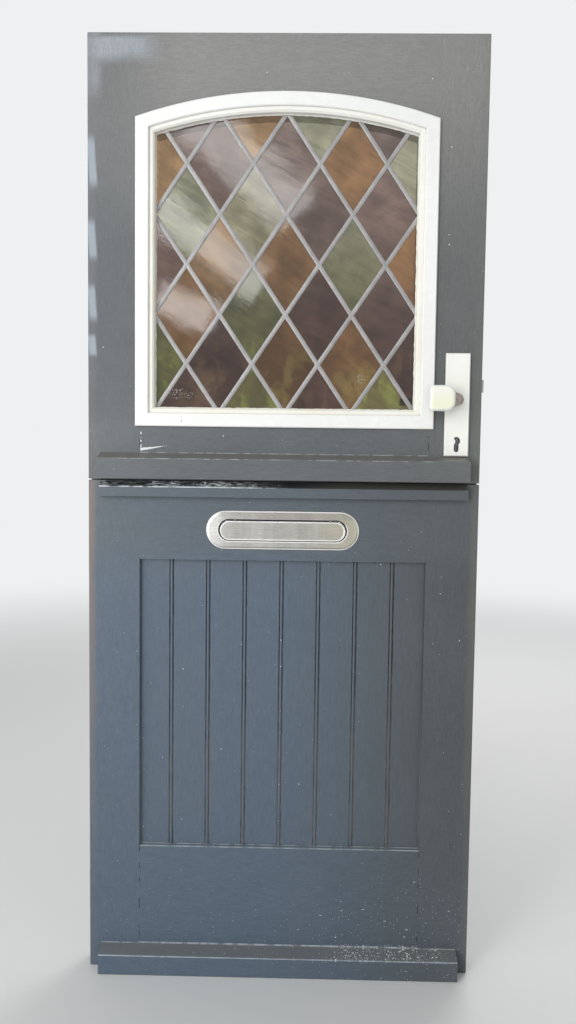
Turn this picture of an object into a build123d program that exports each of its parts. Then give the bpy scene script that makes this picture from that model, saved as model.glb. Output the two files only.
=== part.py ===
from build123d import *
from math import ceil, sqrt
import os

# A Dutch stable door in two leaves. The upper leaf has an arched light of leaded glass, a long lock
# plate and a fixed knob; the lower leaf has a letter plate and a panel of beaded boards. Both leaves
# hang on one hinge line at the left and open inwards.
# Millimetres. X runs from the hinge side to the lock side, Y from outside to inside, Z up.
# The origin is the middle of the lower leaf's bottom face.

# Leaves
LEAF_WIDTH = 880
DOOR_HEIGHT = 2115
LEAF_THICKNESS = 54
STILE_WIDTH = 116
LOWER_HEIGHT = 1138
MEETING_GAP = 3
MEETING_LAP = 16
LAP_CLEARANCE = 3
BOTTOM_RAIL_HEIGHT = 293
MIDDLE_RAIL_HEIGHT = 178
SILL_RAIL_HEIGHT = 129
CROWN_RAIL_HEIGHT = 134
ARRIS = 2
TENON_LENGTH = 24
TENON_THICKNESS = 18
TENON_SHOULDER = 26

# Arched light
ARCH_RISE = 53
SURROUND_LAP = 9.5
SURROUND_FACE = 30
SURROUND_PROUD = 8
SURROUND_ARRIS = 2
GLAZING_BEAD_FACE = 12
GLAZING_BEAD_SETBACK = 2
GLAZING_BEAD_SLOPE = 4
LEAD_SETBACK = 15
LEAD_INSET = 22

# Leaded glass
LOZENGES_WIDE = 4
LOZENGES_HIGH = 3
CAME_WIDTH = 10
CAME_CROWN = 1
CAME_FLANGE = 0.5
CAME_HEART = 1.6
BORDER_CAME_WIDTH = 12
GLASS_THICKNESS = 3
GLASS_PLAY = 0.25

# Weather bars
BAR_INSET = 27
BAR_PROJECTION = 36
BAR_FACE = 45
BAR_RISE = 12
BAR_NOSE = 2
UPPER_BAR_LIFT = 2.5
THROAT_WIDTH = 6
THROAT_DEPTH = 4
THROAT_SETBACK = 8
MEETING_BAR_FACE = 22
MEETING_BAR_RISE = 13
MEETING_BAR_PROJECTION = 16

# Boarded panel
BOARD_COUNT = 8
BOARD_THICKNESS = 18
BOARD_RECESS = 10
PANEL_GROOVE = 12
BOARD_PLAY = 1
BEAD_WIDTH = 7
QUIRK_WIDTH = 1.8
QUIRK_DEPTH = 4
TONGUE_LENGTH = 7
TONGUE_THICKNESS = 6
TONGUE_PLAY = 0.3
LEDGE_FALL = 3

# Hinges
HINGE_HEIGHT = 89
HINGE_FLAP_WIDTH = 29.5
HINGE_THICKNESS = 3
HINGE_GAP = 3
HINGE_BARREL_RADIUS = 6.5
HINGE_BARREL_PROUD = 7
HINGE_PIN_RADIUS = 3.5
HINGE_PIN_FIT = 0.05
HINGE_PIN_HEAD = 3
KNUCKLES = 5
KNUCKLE_GAP = 0.3
FLAP_CLEARANCE = 0.4
HINGE_END_DISTANCE = 170
HINGE_HOLES_APART_Y = 14
HINGE_HOLES_APART_Z = 62
SCREW_HOLE_RADIUS = 2.75
SCREW_SINK_RADIUS = 5
SCREW_RADIUS = 2.5
SCREW_LENGTH = 26
SCREW_PLAY = 0.1
SCREW_HEAD_PLAY = 0.15

# Lock
BACKSET = 55
LOCK_CENTRES = 92
CYLINDER_ABOVE_PLATE_END = 34
LOCK_CASE_THICKNESS = 16
LOCK_CASE_DEPTH = 85
LOCK_CASE_BELOW_CYLINDER = 40
LOCK_CASE_ABOVE_SPINDLE = 58
LOCK_CASE_PLAY = 0.2
FOREND_WIDTH = 24
FOREND_THICKNESS = 3
FOREND_OVERHANG = 24
FOREND_HOLE_INSET = 10
CYLINDER_RADIUS = 8.6
CYLINDER_SLOT = 10
CYLINDER_HEIGHT = 33
CYLINDER_EASE = 0.5
TIMBER_EASE = 2
FOLLOWER_RADIUS = 10
FOLLOWER_FIT = 0.05
SPINDLE_SIDE = 8
SPINDLE_FIT = 0.05
SPINDLE_HOLE_RADIUS = 12
LATCH_ABOVE_SPINDLE = 33
LATCH_HEIGHT = 28
LATCH_THROW = 10
DEAD_BOLT_ABOVE_CYLINDER = 43
DEAD_BOLT_HEIGHT = 30
BOLT_THICKNESS = 12
BOLT_LENGTH = 44
BOLT_FIT = 0.08

# Lock plates, knob and lever
PLATE_WIDTH = 54
PLATE_HEIGHT = 228
PLATE_THICKNESS = 8
PLATE_BEVEL = 2
PLATE_ABOVE_BAR = 0.5
PLATE_SCREW_BELOW_TOP = 18
PLATE_SCREW_BELOW_SPINDLE = 22
PLATE_BOSS_RADIUS = 4.5
PLATE_BOSS_LENGTH = 14
MACHINE_SCREW_RADIUS = 2.5
MACHINE_SCREW_FIT = 0.05
MACHINE_SCREW_HOLE = 3
MACHINE_SCREW_HEAD_RADIUS = 4.5
MACHINE_SCREW_HEAD = 2.5
KNOB_SIZE = 56
KNOB_OFFSET = 40
KNOB_STANDOFF = 20
KNOB_DEPTH = 29
KNOB_NECK_RADIUS = 14
KNOB_NECK_FLARE = 21
KNOB_TIGHT_CORNER = 9
KNOB_LOOSE_CORNER = 20
KNOB_FACE_ROUND = 7
KNOB_BACK_ROUND = 4
LEVER_RADIUS = 9.5
LEVER_LENGTH = 118
LEVER_STANDOFF = 30
LEVER_FIT = 0.08
LEVER_TRAVEL_GAP = 0.3

# Letter plate
LETTER_DROP = 2.5
LETTER_PLATE_WIDTH = 345
LETTER_PLATE_HEIGHT = 86
LETTER_PLATE_EDGE = 2
LETTER_PLATE_DOME = 3
LETTER_DOME_TAPER = 62
LETTER_SLOT_WIDTH = 291
LETTER_SLOT_HEIGHT = 50
FLAP_END_GAP = 5
FLAP_TOP_GAP = 5.5
FLAP_FOOT_GAP = 2.5
FLAP_THICKNESS = 3
FLAP_SETBACK = 1
FLAP_BEVEL = 1
FLAP_ROD_RADIUS = 2
FLAP_ROD_FIT = 0.05
FLAP_ROD_BEHIND = 5
FLAP_ROD_ABOVE = 2.5
FLAP_EYE_RADIUS = 4
FLAP_EYE_WIDTH = 5
FLAP_EYE_INSET = 37.5
FLAP_EAR_INSET = 13.5
FLAP_EAR_WIDTH = 4
SPRING_TURNS = 8
SPRING_WIRE_RADIUS = 0.6
SPRING_RADIUS = 3.1
LETTER_MORTISE_END = 4.5
LETTER_MORTISE_FOOT = 4
LETTER_MORTISE_HEAD = 8
INNER_FRAME_THICKNESS = 2
INNER_FRAME_MARGIN = 18

# Barrel bolts
BARREL_BOLT_LENGTH = 110
BARREL_BOLT_WIDTH = 36
BARREL_BOLT_PLATE = 3
BARREL_BOLT_ROD_RADIUS = 6
BARREL_BOLT_FIT = 0.08
BARREL_BOLT_ROD_PROUD = 8
BARREL_BOLT_BRACKET_LENGTH = 16
BARREL_BOLT_BRACKET_WALL = 3
BARREL_BOLT_BRACKET_INSET = 6
BARREL_BOLT_THROW = 28
BARREL_BOLT_KNOB_RADIUS = 5
BARREL_BOLT_KNOB_HEIGHT = 17
BARREL_BOLT_TIP_SETBACK = 1
BARREL_BOLT_HOLES_APART = 26
KEEP_LENGTH = 34
KEEP_SPARE = 3
KEEP_BELOW_LIP = 3
KEEP_PLAY = 0.5
COUPLING_BOLT_INSET = 84
COUPLING_BOLT_LIFT = 6
DOOR_BOLT_BELOW_TOP = 438
DOOR_BOLT_EDGE = 6

# Lines that the pieces share
LEAF_HALF = LEAF_WIDTH / 2
OUTSIDE = -LEAF_THICKNESS / 2
INSIDE = LEAF_THICKNESS / 2
OPENING_HALF = LEAF_HALF - STILE_WIDTH
UPPER_BOTTOM = LOWER_HEIGHT + MEETING_GAP
LIP_BOTTOM = UPPER_BOTTOM - MEETING_LAP
LOWER_SHELF = LOWER_HEIGHT - MEETING_LAP
SILL = UPPER_BOTTOM + SILL_RAIL_HEIGHT
CROWN = DOOR_HEIGHT - CROWN_RAIL_HEIGHT
ARCH_RADIUS = (OPENING_HALF**2 + ARCH_RISE**2) / (2 * ARCH_RISE)
ARCH_CENTRE = CROWN - ARCH_RADIUS
PANEL_TOP = LOWER_HEIGHT - MIDDLE_RAIL_HEIGHT
BOARD_FRONT = OUTSIDE + BOARD_RECESS
BOARD_BACK = BOARD_FRONT + BOARD_THICKNESS
BAR_HALF = LEAF_HALF - BAR_INSET
UPPER_BAR_BOTTOM = UPPER_BOTTOM + UPPER_BAR_LIFT
PLATE_BOTTOM = UPPER_BAR_BOTTOM + BAR_FACE + BAR_RISE + PLATE_ABOVE_BAR
PLATE_MIDDLE = PLATE_BOTTOM + PLATE_HEIGHT / 2
LOCK_X = LEAF_HALF - BACKSET
CYLINDER_Z = PLATE_BOTTOM + CYLINDER_ABOVE_PLATE_END
SPINDLE_Z = CYLINDER_Z + LOCK_CENTRES
HINGE_X = -LEAF_HALF - HINGE_GAP / 2
HINGE_Y = INSIDE + HINGE_BARREL_PROUD
LOWER_HINGES = (HINGE_END_DISTANCE, LOWER_HEIGHT - HINGE_END_DISTANCE)
UPPER_HINGES = (UPPER_BOTTOM + HINGE_END_DISTANCE, DOOR_HEIGHT - HINGE_END_DISTANCE)

os.makedirs("parts", exist_ok=True)


def upright(y):
    """Sketch plane of the elevation, at depth y, seen from outside. Extruding comes outwards."""
    return Plane.XZ.offset(-y)


def save(part, name):
    part.label = name
    export_step(part, f"parts/{name}.step")


def window_spring(inset):
    """Height at which the arch starts, on an outline drawn inside the timber opening by inset."""
    return ARCH_CENTRE + sqrt((ARCH_RADIUS - inset) ** 2 - (OPENING_HALF - inset) ** 2)


def window_face(inset):
    """The arched opening's outline, drawn inside the timber opening by inset."""
    half = OPENING_HALF - inset
    spring = window_spring(inset)
    sill = SILL + inset
    with BuildSketch() as outline:
        with BuildLine():
            Polyline((-half, spring), (-half, sill), (half, sill), (half, spring))
            ThreePointArc((half, spring), (0, CROWN - inset), (-half, spring))
        make_face()
    return outline.sketch


def tenons(low, high):
    """Stub tenons at both ends of a rail, from height low to height high."""
    with BuildPart() as both:
        with BuildSketch(Plane.XY.offset(low)):
            with Locations((OPENING_HALF, 0), (-OPENING_HALF, 0)):
                Rectangle(2 * TENON_LENGTH, TENON_THICKNESS)
        extrude(amount=high - low)
        with BuildSketch(Plane.XY.offset(low)):
            Rectangle(2 * OPENING_HALF, TENON_THICKNESS)
        extrude(amount=high - low, mode=Mode.SUBTRACT)
    return both.part


def rail_block(low, high):
    """A rail between the stiles, over the leaf's whole thickness."""
    with BuildPart() as rail:
        with BuildSketch(upright(INSIDE)):
            with Locations((0, (low + high) / 2)):
                Rectangle(2 * OPENING_HALF, high - low)
        extrude(amount=LEAF_THICKNESS)
    return rail.part


def stile_block(side, low, high):
    """A stile with its outer arrises eased. side is -1 at the hinges and 1 at the lock."""
    with BuildPart() as stile:
        with BuildSketch(Plane.XY.offset(low)):
            with Locations((side * (LEAF_HALF - STILE_WIDTH / 2), 0)):
                Rectangle(STILE_WIDTH, LEAF_THICKNESS)
        extrude(amount=high - low)
        edges = stile.edges().filter_by(Axis.Z).group_by(Axis.X)
        chamfer(edges[-1 if side > 0 else 0], ARRIS)
    return stile.part


def cross_cut(y_low, y_high, z_low, z_high):
    """A cut along the whole width of the leaf, between two depths and two heights."""
    with BuildPart() as cut:
        with BuildSketch(Plane.YZ.offset(-LEAF_HALF)):
            with Locations(((y_low + y_high) / 2, (z_low + z_high) / 2)):
                Rectangle(y_high - y_low, z_high - z_low)
        extrude(amount=LEAF_WIDTH)
    return cut.part


# Cuts that several timbers share
lower_rebate = cross_cut(LAP_CLEARANCE / -2, INSIDE, LOWER_SHELF, LOWER_HEIGHT)
upper_rebate = cross_cut(OUTSIDE, LAP_CLEARANCE / 2, LIP_BOTTOM, UPPER_BOTTOM)
with BuildPart() as panel_groove:
    with BuildSketch(Plane.XY.offset(BOTTOM_RAIL_HEIGHT - PANEL_GROOVE)):
        with Locations((0, (BOARD_FRONT + BOARD_BACK) / 2)):
            Rectangle(2 * (OPENING_HALF + PANEL_GROOVE), BOARD_THICKNESS)
    extrude(amount=PANEL_TOP - BOTTOM_RAIL_HEIGHT + 2 * PANEL_GROOVE)

lower_tenons = tenons(TENON_SHOULDER, BOTTOM_RAIL_HEIGHT - TENON_SHOULDER)
middle_tenons = tenons(PANEL_TOP + TENON_SHOULDER, LOWER_SHELF - TENON_SHOULDER)
sill_tenons = tenons(UPPER_BOTTOM + TENON_SHOULDER, SILL - TENON_SHOULDER)
crown_tenons = tenons(CROWN, DOOR_HEIGHT - TENON_SHOULDER)


# Hinges
def hinge_axis_plane(z):
    return Plane(origin=(HINGE_X, HINGE_Y, z))


def hinge_flap(side, middle):
    """One flap of a butt hinge with its knuckles. side is 1 on the door and -1 on the frame."""
    knuckle = HINGE_HEIGHT / KNUCKLES
    mine = 1 if side > 0 else 0
    face = HINGE_GAP / 2
    bottom = middle - HINGE_HEIGHT / 2
    plate_middle = -HINGE_BARREL_PROUD - HINGE_FLAP_WIDTH / 2
    with BuildPart() as flap:
        with BuildSketch(hinge_axis_plane(bottom)):
            with Locations((side * (face + HINGE_THICKNESS / 2), plate_middle - FLAP_CLEARANCE / 2)):
                Rectangle(HINGE_THICKNESS, HINGE_FLAP_WIDTH - FLAP_CLEARANCE)
        extrude(amount=HINGE_HEIGHT)
        for i in range(mine, KNUCKLES, 2):
            with BuildSketch(hinge_axis_plane(bottom + i * knuckle + KNUCKLE_GAP / 2)):
                Circle(HINGE_BARREL_RADIUS)
                with Locations((side * (face + HINGE_THICKNESS / 2), 0)):
                    Rectangle(
                        HINGE_THICKNESS,
                        HINGE_BARREL_PROUD + FLAP_CLEARANCE,
                        align=(Align.CENTER, Align.MAX),
                    )
            extrude(amount=knuckle - KNUCKLE_GAP)
        with BuildSketch(hinge_axis_plane(bottom)):
            Circle(HINGE_PIN_RADIUS + HINGE_PIN_FIT)
        extrude(amount=HINGE_HEIGHT, mode=Mode.SUBTRACT)
        with Locations(hinge_screw_plane(side, middle)):
            with GridLocations(HINGE_HOLES_APART_Z, HINGE_HOLES_APART_Y, 2, 2):
                CounterSinkHole(
                    SCREW_HOLE_RADIUS,
                    SCREW_SINK_RADIUS,
                    depth=HINGE_THICKNESS,
                    counter_sink_angle=90,
                )
    return flap.part


def hinge_screw_plane(side, middle):
    """The face of a flap that its screws go in at, which faces the other flap."""
    x = HINGE_X + side * HINGE_GAP / 2
    y = INSIDE - HINGE_FLAP_WIDTH / 2
    return Plane(origin=(x, y, middle), x_dir=(0, 0, 1), z_dir=(-side, 0, 0))


def hinge_pin(middle):
    with BuildPart() as pin:
        with BuildSketch(hinge_axis_plane(middle - HINGE_HEIGHT / 2)):
            Circle(HINGE_PIN_RADIUS)
        extrude(amount=HINGE_HEIGHT)
        with BuildSketch(hinge_axis_plane(middle + HINGE_HEIGHT / 2)):
            Circle(HINGE_BARREL_RADIUS)
        extrude(amount=HINGE_PIN_HEAD)
        chamfer(pin.edges().filter_by(GeomType.CIRCLE).sort_by(Axis.Z)[-1], HINGE_PIN_HEAD / 3)
    return pin.part


def wood_screw(plane):
    """A countersunk wood screw, driven in at the plane's origin, against its normal."""
    head = SCREW_SINK_RADIUS - 2 * SCREW_HEAD_PLAY
    neck = head - SCREW_RADIUS
    with BuildPart() as screw:
        with BuildSketch(plane):
            Circle(SCREW_RADIUS)
        extrude(amount=-SCREW_LENGTH)
        with BuildSketch(plane.offset(-SCREW_HEAD_PLAY)):
            Circle(head)
        extrude(amount=-neck, taper=45)
    return screw.part


def screws_at(planes):
    """One wood screw at each plane."""
    with BuildPart() as group:
        for plane in planes:
            add(wood_screw(plane))
    return group.part


def grid_planes(plane, apart_x, apart_y):
    """Planes at the four corners of a rectangle on the given plane."""
    corners = [(i * apart_x / 2, j * apart_y / 2) for i in (-1, 1) for j in (-1, 1)]
    return [Plane(plane.from_local_coords((*c, 0)), plane.x_dir, plane.z_dir) for c in corners]


def hinge_mortise(middle):
    """The housing in the stile's edge that takes a door flap."""
    with BuildPart() as mortise:
        with BuildSketch(Plane.XY.offset(middle - HINGE_HEIGHT / 2)):
            with Locations((-LEAF_HALF, INSIDE)):
                Rectangle(HINGE_THICKNESS, HINGE_FLAP_WIDTH, align=(Align.MIN, Align.MAX))
        extrude(amount=HINGE_HEIGHT)
    return mortise.part


# Lower leaf: stiles
lower_stiles = {"lower_hinge_stile": -1, "lower_lock_stile": 1}
for name, side in lower_stiles.items():
    with BuildPart() as stile:
        add(stile_block(side, 0, LOWER_HEIGHT))
        add(lower_rebate, mode=Mode.SUBTRACT)
        add(panel_groove.part, mode=Mode.SUBTRACT)
        add(lower_tenons, mode=Mode.SUBTRACT)
        add(middle_tenons, mode=Mode.SUBTRACT)
        if side < 0:
            for middle in LOWER_HINGES:
                add(hinge_mortise(middle), mode=Mode.SUBTRACT)
    save(stile.part, name)

# Lower leaf: bottom rail, its top sloped in front of the boards to shed water
with BuildPart() as lower_bottom_rail:
    add(rail_block(0, BOTTOM_RAIL_HEIGHT))
    add(panel_groove.part, mode=Mode.SUBTRACT)
    with BuildSketch(Plane.YZ.offset(-OPENING_HALF)):
        with BuildLine():
            Polyline(
                (OUTSIDE, BOTTOM_RAIL_HEIGHT - LEDGE_FALL),
                (BOARD_FRONT, BOTTOM_RAIL_HEIGHT),
                (OUTSIDE, BOTTOM_RAIL_HEIGHT),
                close=True,
            )
        make_face()
    extrude(amount=2 * OPENING_HALF, mode=Mode.SUBTRACT)
    add(lower_tenons)
save(lower_bottom_rail.part, "lower_bottom_rail")

# Letter plate: where its pieces lie. It sits in the face of the rail that the meeting bar leaves clear.
MEETING_BAR_BOTTOM = LOWER_HEIGHT - MEETING_BAR_FACE - MEETING_BAR_RISE
LETTER_HEIGHT = (PANEL_TOP + MEETING_BAR_BOTTOM) / 2 - LETTER_DROP
LETTER_MORTISE_WIDTH = LETTER_SLOT_WIDTH + 2 * LETTER_MORTISE_END
LETTER_MORTISE_HEIGHT = LETTER_SLOT_HEIGHT + LETTER_MORTISE_FOOT + LETTER_MORTISE_HEAD
LETTER_MORTISE_MIDDLE = LETTER_HEIGHT + (LETTER_MORTISE_HEAD - LETTER_MORTISE_FOOT) / 2
LETTER_BOLTS_APART = (LETTER_PLATE_WIDTH + LETTER_SLOT_WIDTH) / 2
LETTER_FACE = OUTSIDE - LETTER_PLATE_EDGE - LETTER_PLATE_DOME
FLAP_WIDTH = LETTER_SLOT_WIDTH - 2 * FLAP_END_GAP
FLAP_HEIGHT = LETTER_SLOT_HEIGHT - FLAP_TOP_GAP - FLAP_FOOT_GAP
FLAP_TOP = LETTER_HEIGHT + LETTER_SLOT_HEIGHT / 2 - FLAP_TOP_GAP
FLAP_MIDDLE = FLAP_TOP - FLAP_HEIGHT / 2
FLAP_EYE_AT = LETTER_SLOT_WIDTH / 2 - FLAP_EYE_INSET
FLAP_EAR_AT = LETTER_SLOT_WIDTH / 2 - FLAP_EAR_INSET
FLAP_FRONT = LETTER_FACE + FLAP_SETBACK
FLAP_BACK = FLAP_FRONT + FLAP_THICKNESS
ROD_Y = OUTSIDE + FLAP_ROD_BEHIND
ROD_Z = FLAP_TOP + FLAP_ROD_ABOVE
letter_bolt_ends = [-LETTER_BOLTS_APART / 2, LETTER_BOLTS_APART / 2]

# Lower leaf: middle rail, cut through for letters
with BuildPart() as lower_top_rail:
    add(rail_block(PANEL_TOP, LOWER_HEIGHT))
    add(lower_rebate, mode=Mode.SUBTRACT)
    add(panel_groove.part, mode=Mode.SUBTRACT)
    with BuildSketch(upright(INSIDE)):
        with Locations((0, LETTER_MORTISE_MIDDLE)):
            Rectangle(LETTER_MORTISE_WIDTH, LETTER_MORTISE_HEIGHT)
        with Locations(*[(x, LETTER_HEIGHT) for x in letter_bolt_ends]):
            Circle(MACHINE_SCREW_HOLE)
    extrude(amount=LEAF_THICKNESS, mode=Mode.SUBTRACT)
    with BuildSketch(upright(OUTSIDE)):
        with Locations(*[(x, LETTER_HEIGHT) for x in letter_bolt_ends]):
            Circle(PLATE_BOSS_RADIUS + SCREW_PLAY)
    extrude(amount=-PLATE_BOSS_LENGTH, mode=Mode.SUBTRACT)
    add(middle_tenons)
save(lower_top_rail.part, "lower_top_rail")

# Lower leaf: tongued and grooved boards with a bead down each joint
panel_half = OPENING_HALF + PANEL_GROOVE - BOARD_PLAY
board_pitch = 2 * panel_half / BOARD_COUNT
bead_band = BEAD_WIDTH + 2 * QUIRK_WIDTH
board_joints = [-panel_half + i * board_pitch + BEAD_WIDTH / 2 for i in range(1, BOARD_COUNT)]
board_edges = [-panel_half, *board_joints, panel_half]
tongue_y = (BOARD_FRONT + QUIRK_DEPTH + BOARD_BACK) / 2
board_bottom = BOTTOM_RAIL_HEIGHT - PANEL_GROOVE + BOARD_PLAY
board_top = PANEL_TOP + PANEL_GROOVE - BOARD_PLAY
for i in range(BOARD_COUNT):
    left = board_edges[i]
    right = board_edges[i + 1]
    bead_middle = right - QUIRK_WIDTH / 2 - BEAD_WIDTH / 2
    with BuildPart() as board:
        with BuildSketch(Plane.XY.offset(board_bottom)):
            with Locations((left, BOARD_FRONT)):
                Rectangle(right - left, BOARD_THICKNESS, align=Align.MIN)
            if i < BOARD_COUNT - 1:
                with Locations((right, BOARD_FRONT)):
                    Rectangle(
                        bead_band - QUIRK_WIDTH / 2,
                        QUIRK_DEPTH,
                        align=(Align.MAX, Align.MIN),
                        mode=Mode.SUBTRACT,
                    )
                with Locations((bead_middle, BOARD_FRONT + BEAD_WIDTH / 2)):
                    Circle(BEAD_WIDTH / 2)
                    Rectangle(BEAD_WIDTH, BEAD_WIDTH / 2, align=(Align.CENTER, Align.MIN))
                with Locations((right, tongue_y)):
                    Rectangle(
                        TONGUE_LENGTH + TONGUE_PLAY,
                        TONGUE_THICKNESS + 2 * TONGUE_PLAY,
                        align=(Align.MAX, Align.CENTER),
                        mode=Mode.SUBTRACT,
                    )
            if i > 0:
                with Locations((left, tongue_y)):
                    Rectangle(TONGUE_LENGTH, TONGUE_THICKNESS, align=(Align.MAX, Align.CENTER))
                with Locations((left, BOARD_FRONT)):
                    Rectangle(QUIRK_WIDTH / 2, QUIRK_DEPTH, align=Align.MIN, mode=Mode.SUBTRACT)
        extrude(amount=board_top - board_bottom)
    save(board.part, f"board_{i + 1}")


# Weather bars
def weather_bar(bottom, face, rise, projection, throat):
    """A bar planted on the outside face: upright front, top sloped up to the leaf, throat below."""
    front = OUTSIDE - projection
    with BuildPart() as bar:
        with BuildSketch(Plane.YZ.offset(-BAR_HALF)):
            with BuildLine():
                Polyline(
                    (OUTSIDE, bottom),
                    (front, bottom),
                    (front, bottom + face),
                    (OUTSIDE, bottom + face + rise),
                    close=True,
                )
            make_face()
            if throat:
                with Locations((front + THROAT_SETBACK, bottom)):
                    Rectangle(THROAT_WIDTH, THROAT_DEPTH, align=Align.MIN, mode=Mode.SUBTRACT)
        extrude(amount=2 * BAR_HALF)
        nose = bar.edges().filter_by(Axis.X).group_by(Axis.Y)[0].sort_by(Axis.Z)[-1]
        fillet(nose, BAR_NOSE)
    return bar.part


save(weather_bar(0, BAR_FACE, BAR_RISE, BAR_PROJECTION, True), "lower_drip_bar")
save(weather_bar(UPPER_BAR_BOTTOM, BAR_FACE, BAR_RISE, BAR_PROJECTION, True), "upper_drip_bar")
save(
    weather_bar(
        MEETING_BAR_BOTTOM, MEETING_BAR_FACE, MEETING_BAR_RISE, MEETING_BAR_PROJECTION, False
    ),
    "meeting_bar",
)

# Letter plate: a domed ring with two ears behind its top edge for the flap's rod
with BuildPart() as letter_plate:
    with BuildSketch(upright(OUTSIDE)):
        with Locations((0, LETTER_HEIGHT)):
            SlotOverall(LETTER_PLATE_WIDTH, LETTER_PLATE_HEIGHT)
    extrude(amount=LETTER_PLATE_EDGE)
    extrude(
        letter_plate.faces().sort_by(Axis.Y)[0],
        amount=LETTER_PLATE_DOME,
        taper=LETTER_DOME_TAPER,
    )
    with BuildSketch(upright(OUTSIDE)):
        with Locations((0, LETTER_HEIGHT)):
            SlotOverall(LETTER_SLOT_WIDTH, LETTER_SLOT_HEIGHT)
    extrude(amount=LETTER_PLATE_EDGE + LETTER_PLATE_DOME, mode=Mode.SUBTRACT)
    ear_top = LETTER_HEIGHT + (LETTER_SLOT_HEIGHT + FLAP_EYE_RADIUS * 3) / 2
    for x in (-FLAP_EAR_AT, FLAP_EAR_AT):
        with BuildSketch(Plane.YZ.offset(x - FLAP_EAR_WIDTH / 2)):
            with Locations((ROD_Y, ROD_Z)):
                Circle(FLAP_EYE_RADIUS)
                Rectangle(
                    2 * FLAP_EYE_RADIUS, ear_top - ROD_Z, align=(Align.CENTER, Align.MIN)
                )
            with Locations((OUTSIDE, ear_top)):
                Rectangle(FLAP_ROD_BEHIND, ear_top - ROD_Z, align=(Align.MIN, Align.MAX))
            with Locations((OUTSIDE, ear_top)):
                Rectangle(
                    FLAP_EYE_RADIUS,
                    LETTER_MORTISE_HEIGHT,
                    align=(Align.MAX, Align.MAX),
                    mode=Mode.SUBTRACT,
                )
            with Locations((ROD_Y, ROD_Z)):
                Circle(FLAP_ROD_RADIUS + FLAP_ROD_FIT, mode=Mode.SUBTRACT)
        extrude(amount=FLAP_EAR_WIDTH)
    for x in letter_bolt_ends:
        with BuildSketch(upright(OUTSIDE)):
            with Locations((x, LETTER_HEIGHT)):
                Circle(PLATE_BOSS_RADIUS)
                Circle(MACHINE_SCREW_RADIUS + MACHINE_SCREW_FIT, mode=Mode.SUBTRACT)
        extrude(amount=-PLATE_BOSS_LENGTH)
save(letter_plate.part, "letter_plate")

# Letter flap, with two eyes behind it that turn on the rod
with BuildPart() as letter_flap:
    with BuildSketch(upright(FLAP_BACK)):
        with Locations((0, FLAP_MIDDLE)):
            SlotOverall(FLAP_WIDTH, FLAP_HEIGHT)
    extrude(amount=FLAP_THICKNESS)
    chamfer(letter_flap.faces().sort_by(Axis.Y)[0].edges(), FLAP_BEVEL)
    for x in (-FLAP_EYE_AT, FLAP_EYE_AT):
        with BuildSketch(Plane.YZ.offset(x - FLAP_EYE_WIDTH / 2)):
            with Locations((ROD_Y, ROD_Z)):
                Circle(FLAP_EYE_RADIUS)
            with BuildLine():
                Polyline(
                    (FLAP_BACK, ROD_Z - FLAP_EYE_RADIUS),
                    (ROD_Y, ROD_Z),
                    (ROD_Y + FLAP_EYE_RADIUS, ROD_Z),
                    (FLAP_BACK, ROD_Z - 2 * FLAP_EYE_RADIUS),
                    close=True,
                )
            make_face()
            with Locations((ROD_Y, ROD_Z)):
                Circle(FLAP_ROD_RADIUS + FLAP_ROD_FIT, mode=Mode.SUBTRACT)
        extrude(amount=FLAP_EYE_WIDTH)
save(letter_flap.part, "letter_flap")

with BuildPart() as flap_rod:
    with BuildSketch(Plane.YZ.offset(-FLAP_EAR_AT - FLAP_EAR_WIDTH)):
        with Locations((ROD_Y, ROD_Z)):
            Circle(FLAP_ROD_RADIUS)
    extrude(amount=2 * (FLAP_EAR_AT + FLAP_EAR_WIDTH))
save(flap_rod.part, "flap_rod")

# Return spring of the flap, wound on the rod between an eye and an ear
spring_gap_middle = (FLAP_EYE_AT + FLAP_EYE_WIDTH / 2 + FLAP_EAR_AT - FLAP_EAR_WIDTH / 2) / 2
spring_pitch = 2.4 * SPRING_WIRE_RADIUS
spring_length = SPRING_TURNS * spring_pitch
with BuildPart() as flap_spring:
    with BuildLine() as coil:
        Helix(
            pitch=spring_pitch,
            height=spring_length,
            radius=SPRING_RADIUS,
            center=(spring_gap_middle - spring_length / 2, ROD_Y, ROD_Z),
            direction=(1, 0, 0),
        )
    with BuildSketch(Plane(origin=coil.line @ 0, z_dir=coil.line % 0)):
        RegularPolygon(SPRING_WIRE_RADIUS, 6)
    sweep(is_frenet=True)
save(flap_spring.part, "flap_spring")

# Frame round the letter opening on the inside
with BuildPart() as letter_inner_frame:
    with BuildSketch(upright(INSIDE)):
        with Locations((0, LETTER_MORTISE_MIDDLE)):
            RectangleRounded(
                LETTER_BOLTS_APART + INNER_FRAME_MARGIN,
                LETTER_MORTISE_HEIGHT + 2 * INNER_FRAME_MARGIN,
                INNER_FRAME_MARGIN / 3,
            )
            Rectangle(LETTER_MORTISE_WIDTH, LETTER_MORTISE_HEIGHT, mode=Mode.SUBTRACT)
        with Locations(*[(x, LETTER_HEIGHT) for x in letter_bolt_ends]):
            Circle(MACHINE_SCREW_HOLE, mode=Mode.SUBTRACT)
    extrude(amount=-INNER_FRAME_THICKNESS)
save(letter_inner_frame.part, "letter_inner_frame")


def machine_screw(x, z, head_y, tip_y):
    """A pan-headed screw from the inside, through the leaf, into a boss behind an outside plate."""
    with BuildPart() as screw:
        with BuildSketch(upright(head_y)):
            with Locations((x, z)):
                Circle(MACHINE_SCREW_RADIUS)
        extrude(amount=head_y - tip_y)
        with BuildSketch(upright(head_y)):
            with Locations((x, z)):
                Circle(MACHINE_SCREW_HEAD_RADIUS)
        extrude(amount=-MACHINE_SCREW_HEAD)
        rim = screw.edges().filter_by(GeomType.CIRCLE).sort_by(Axis.Y)[-1]
        fillet(rim, MACHINE_SCREW_HEAD / 2)
    return screw.part


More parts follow.
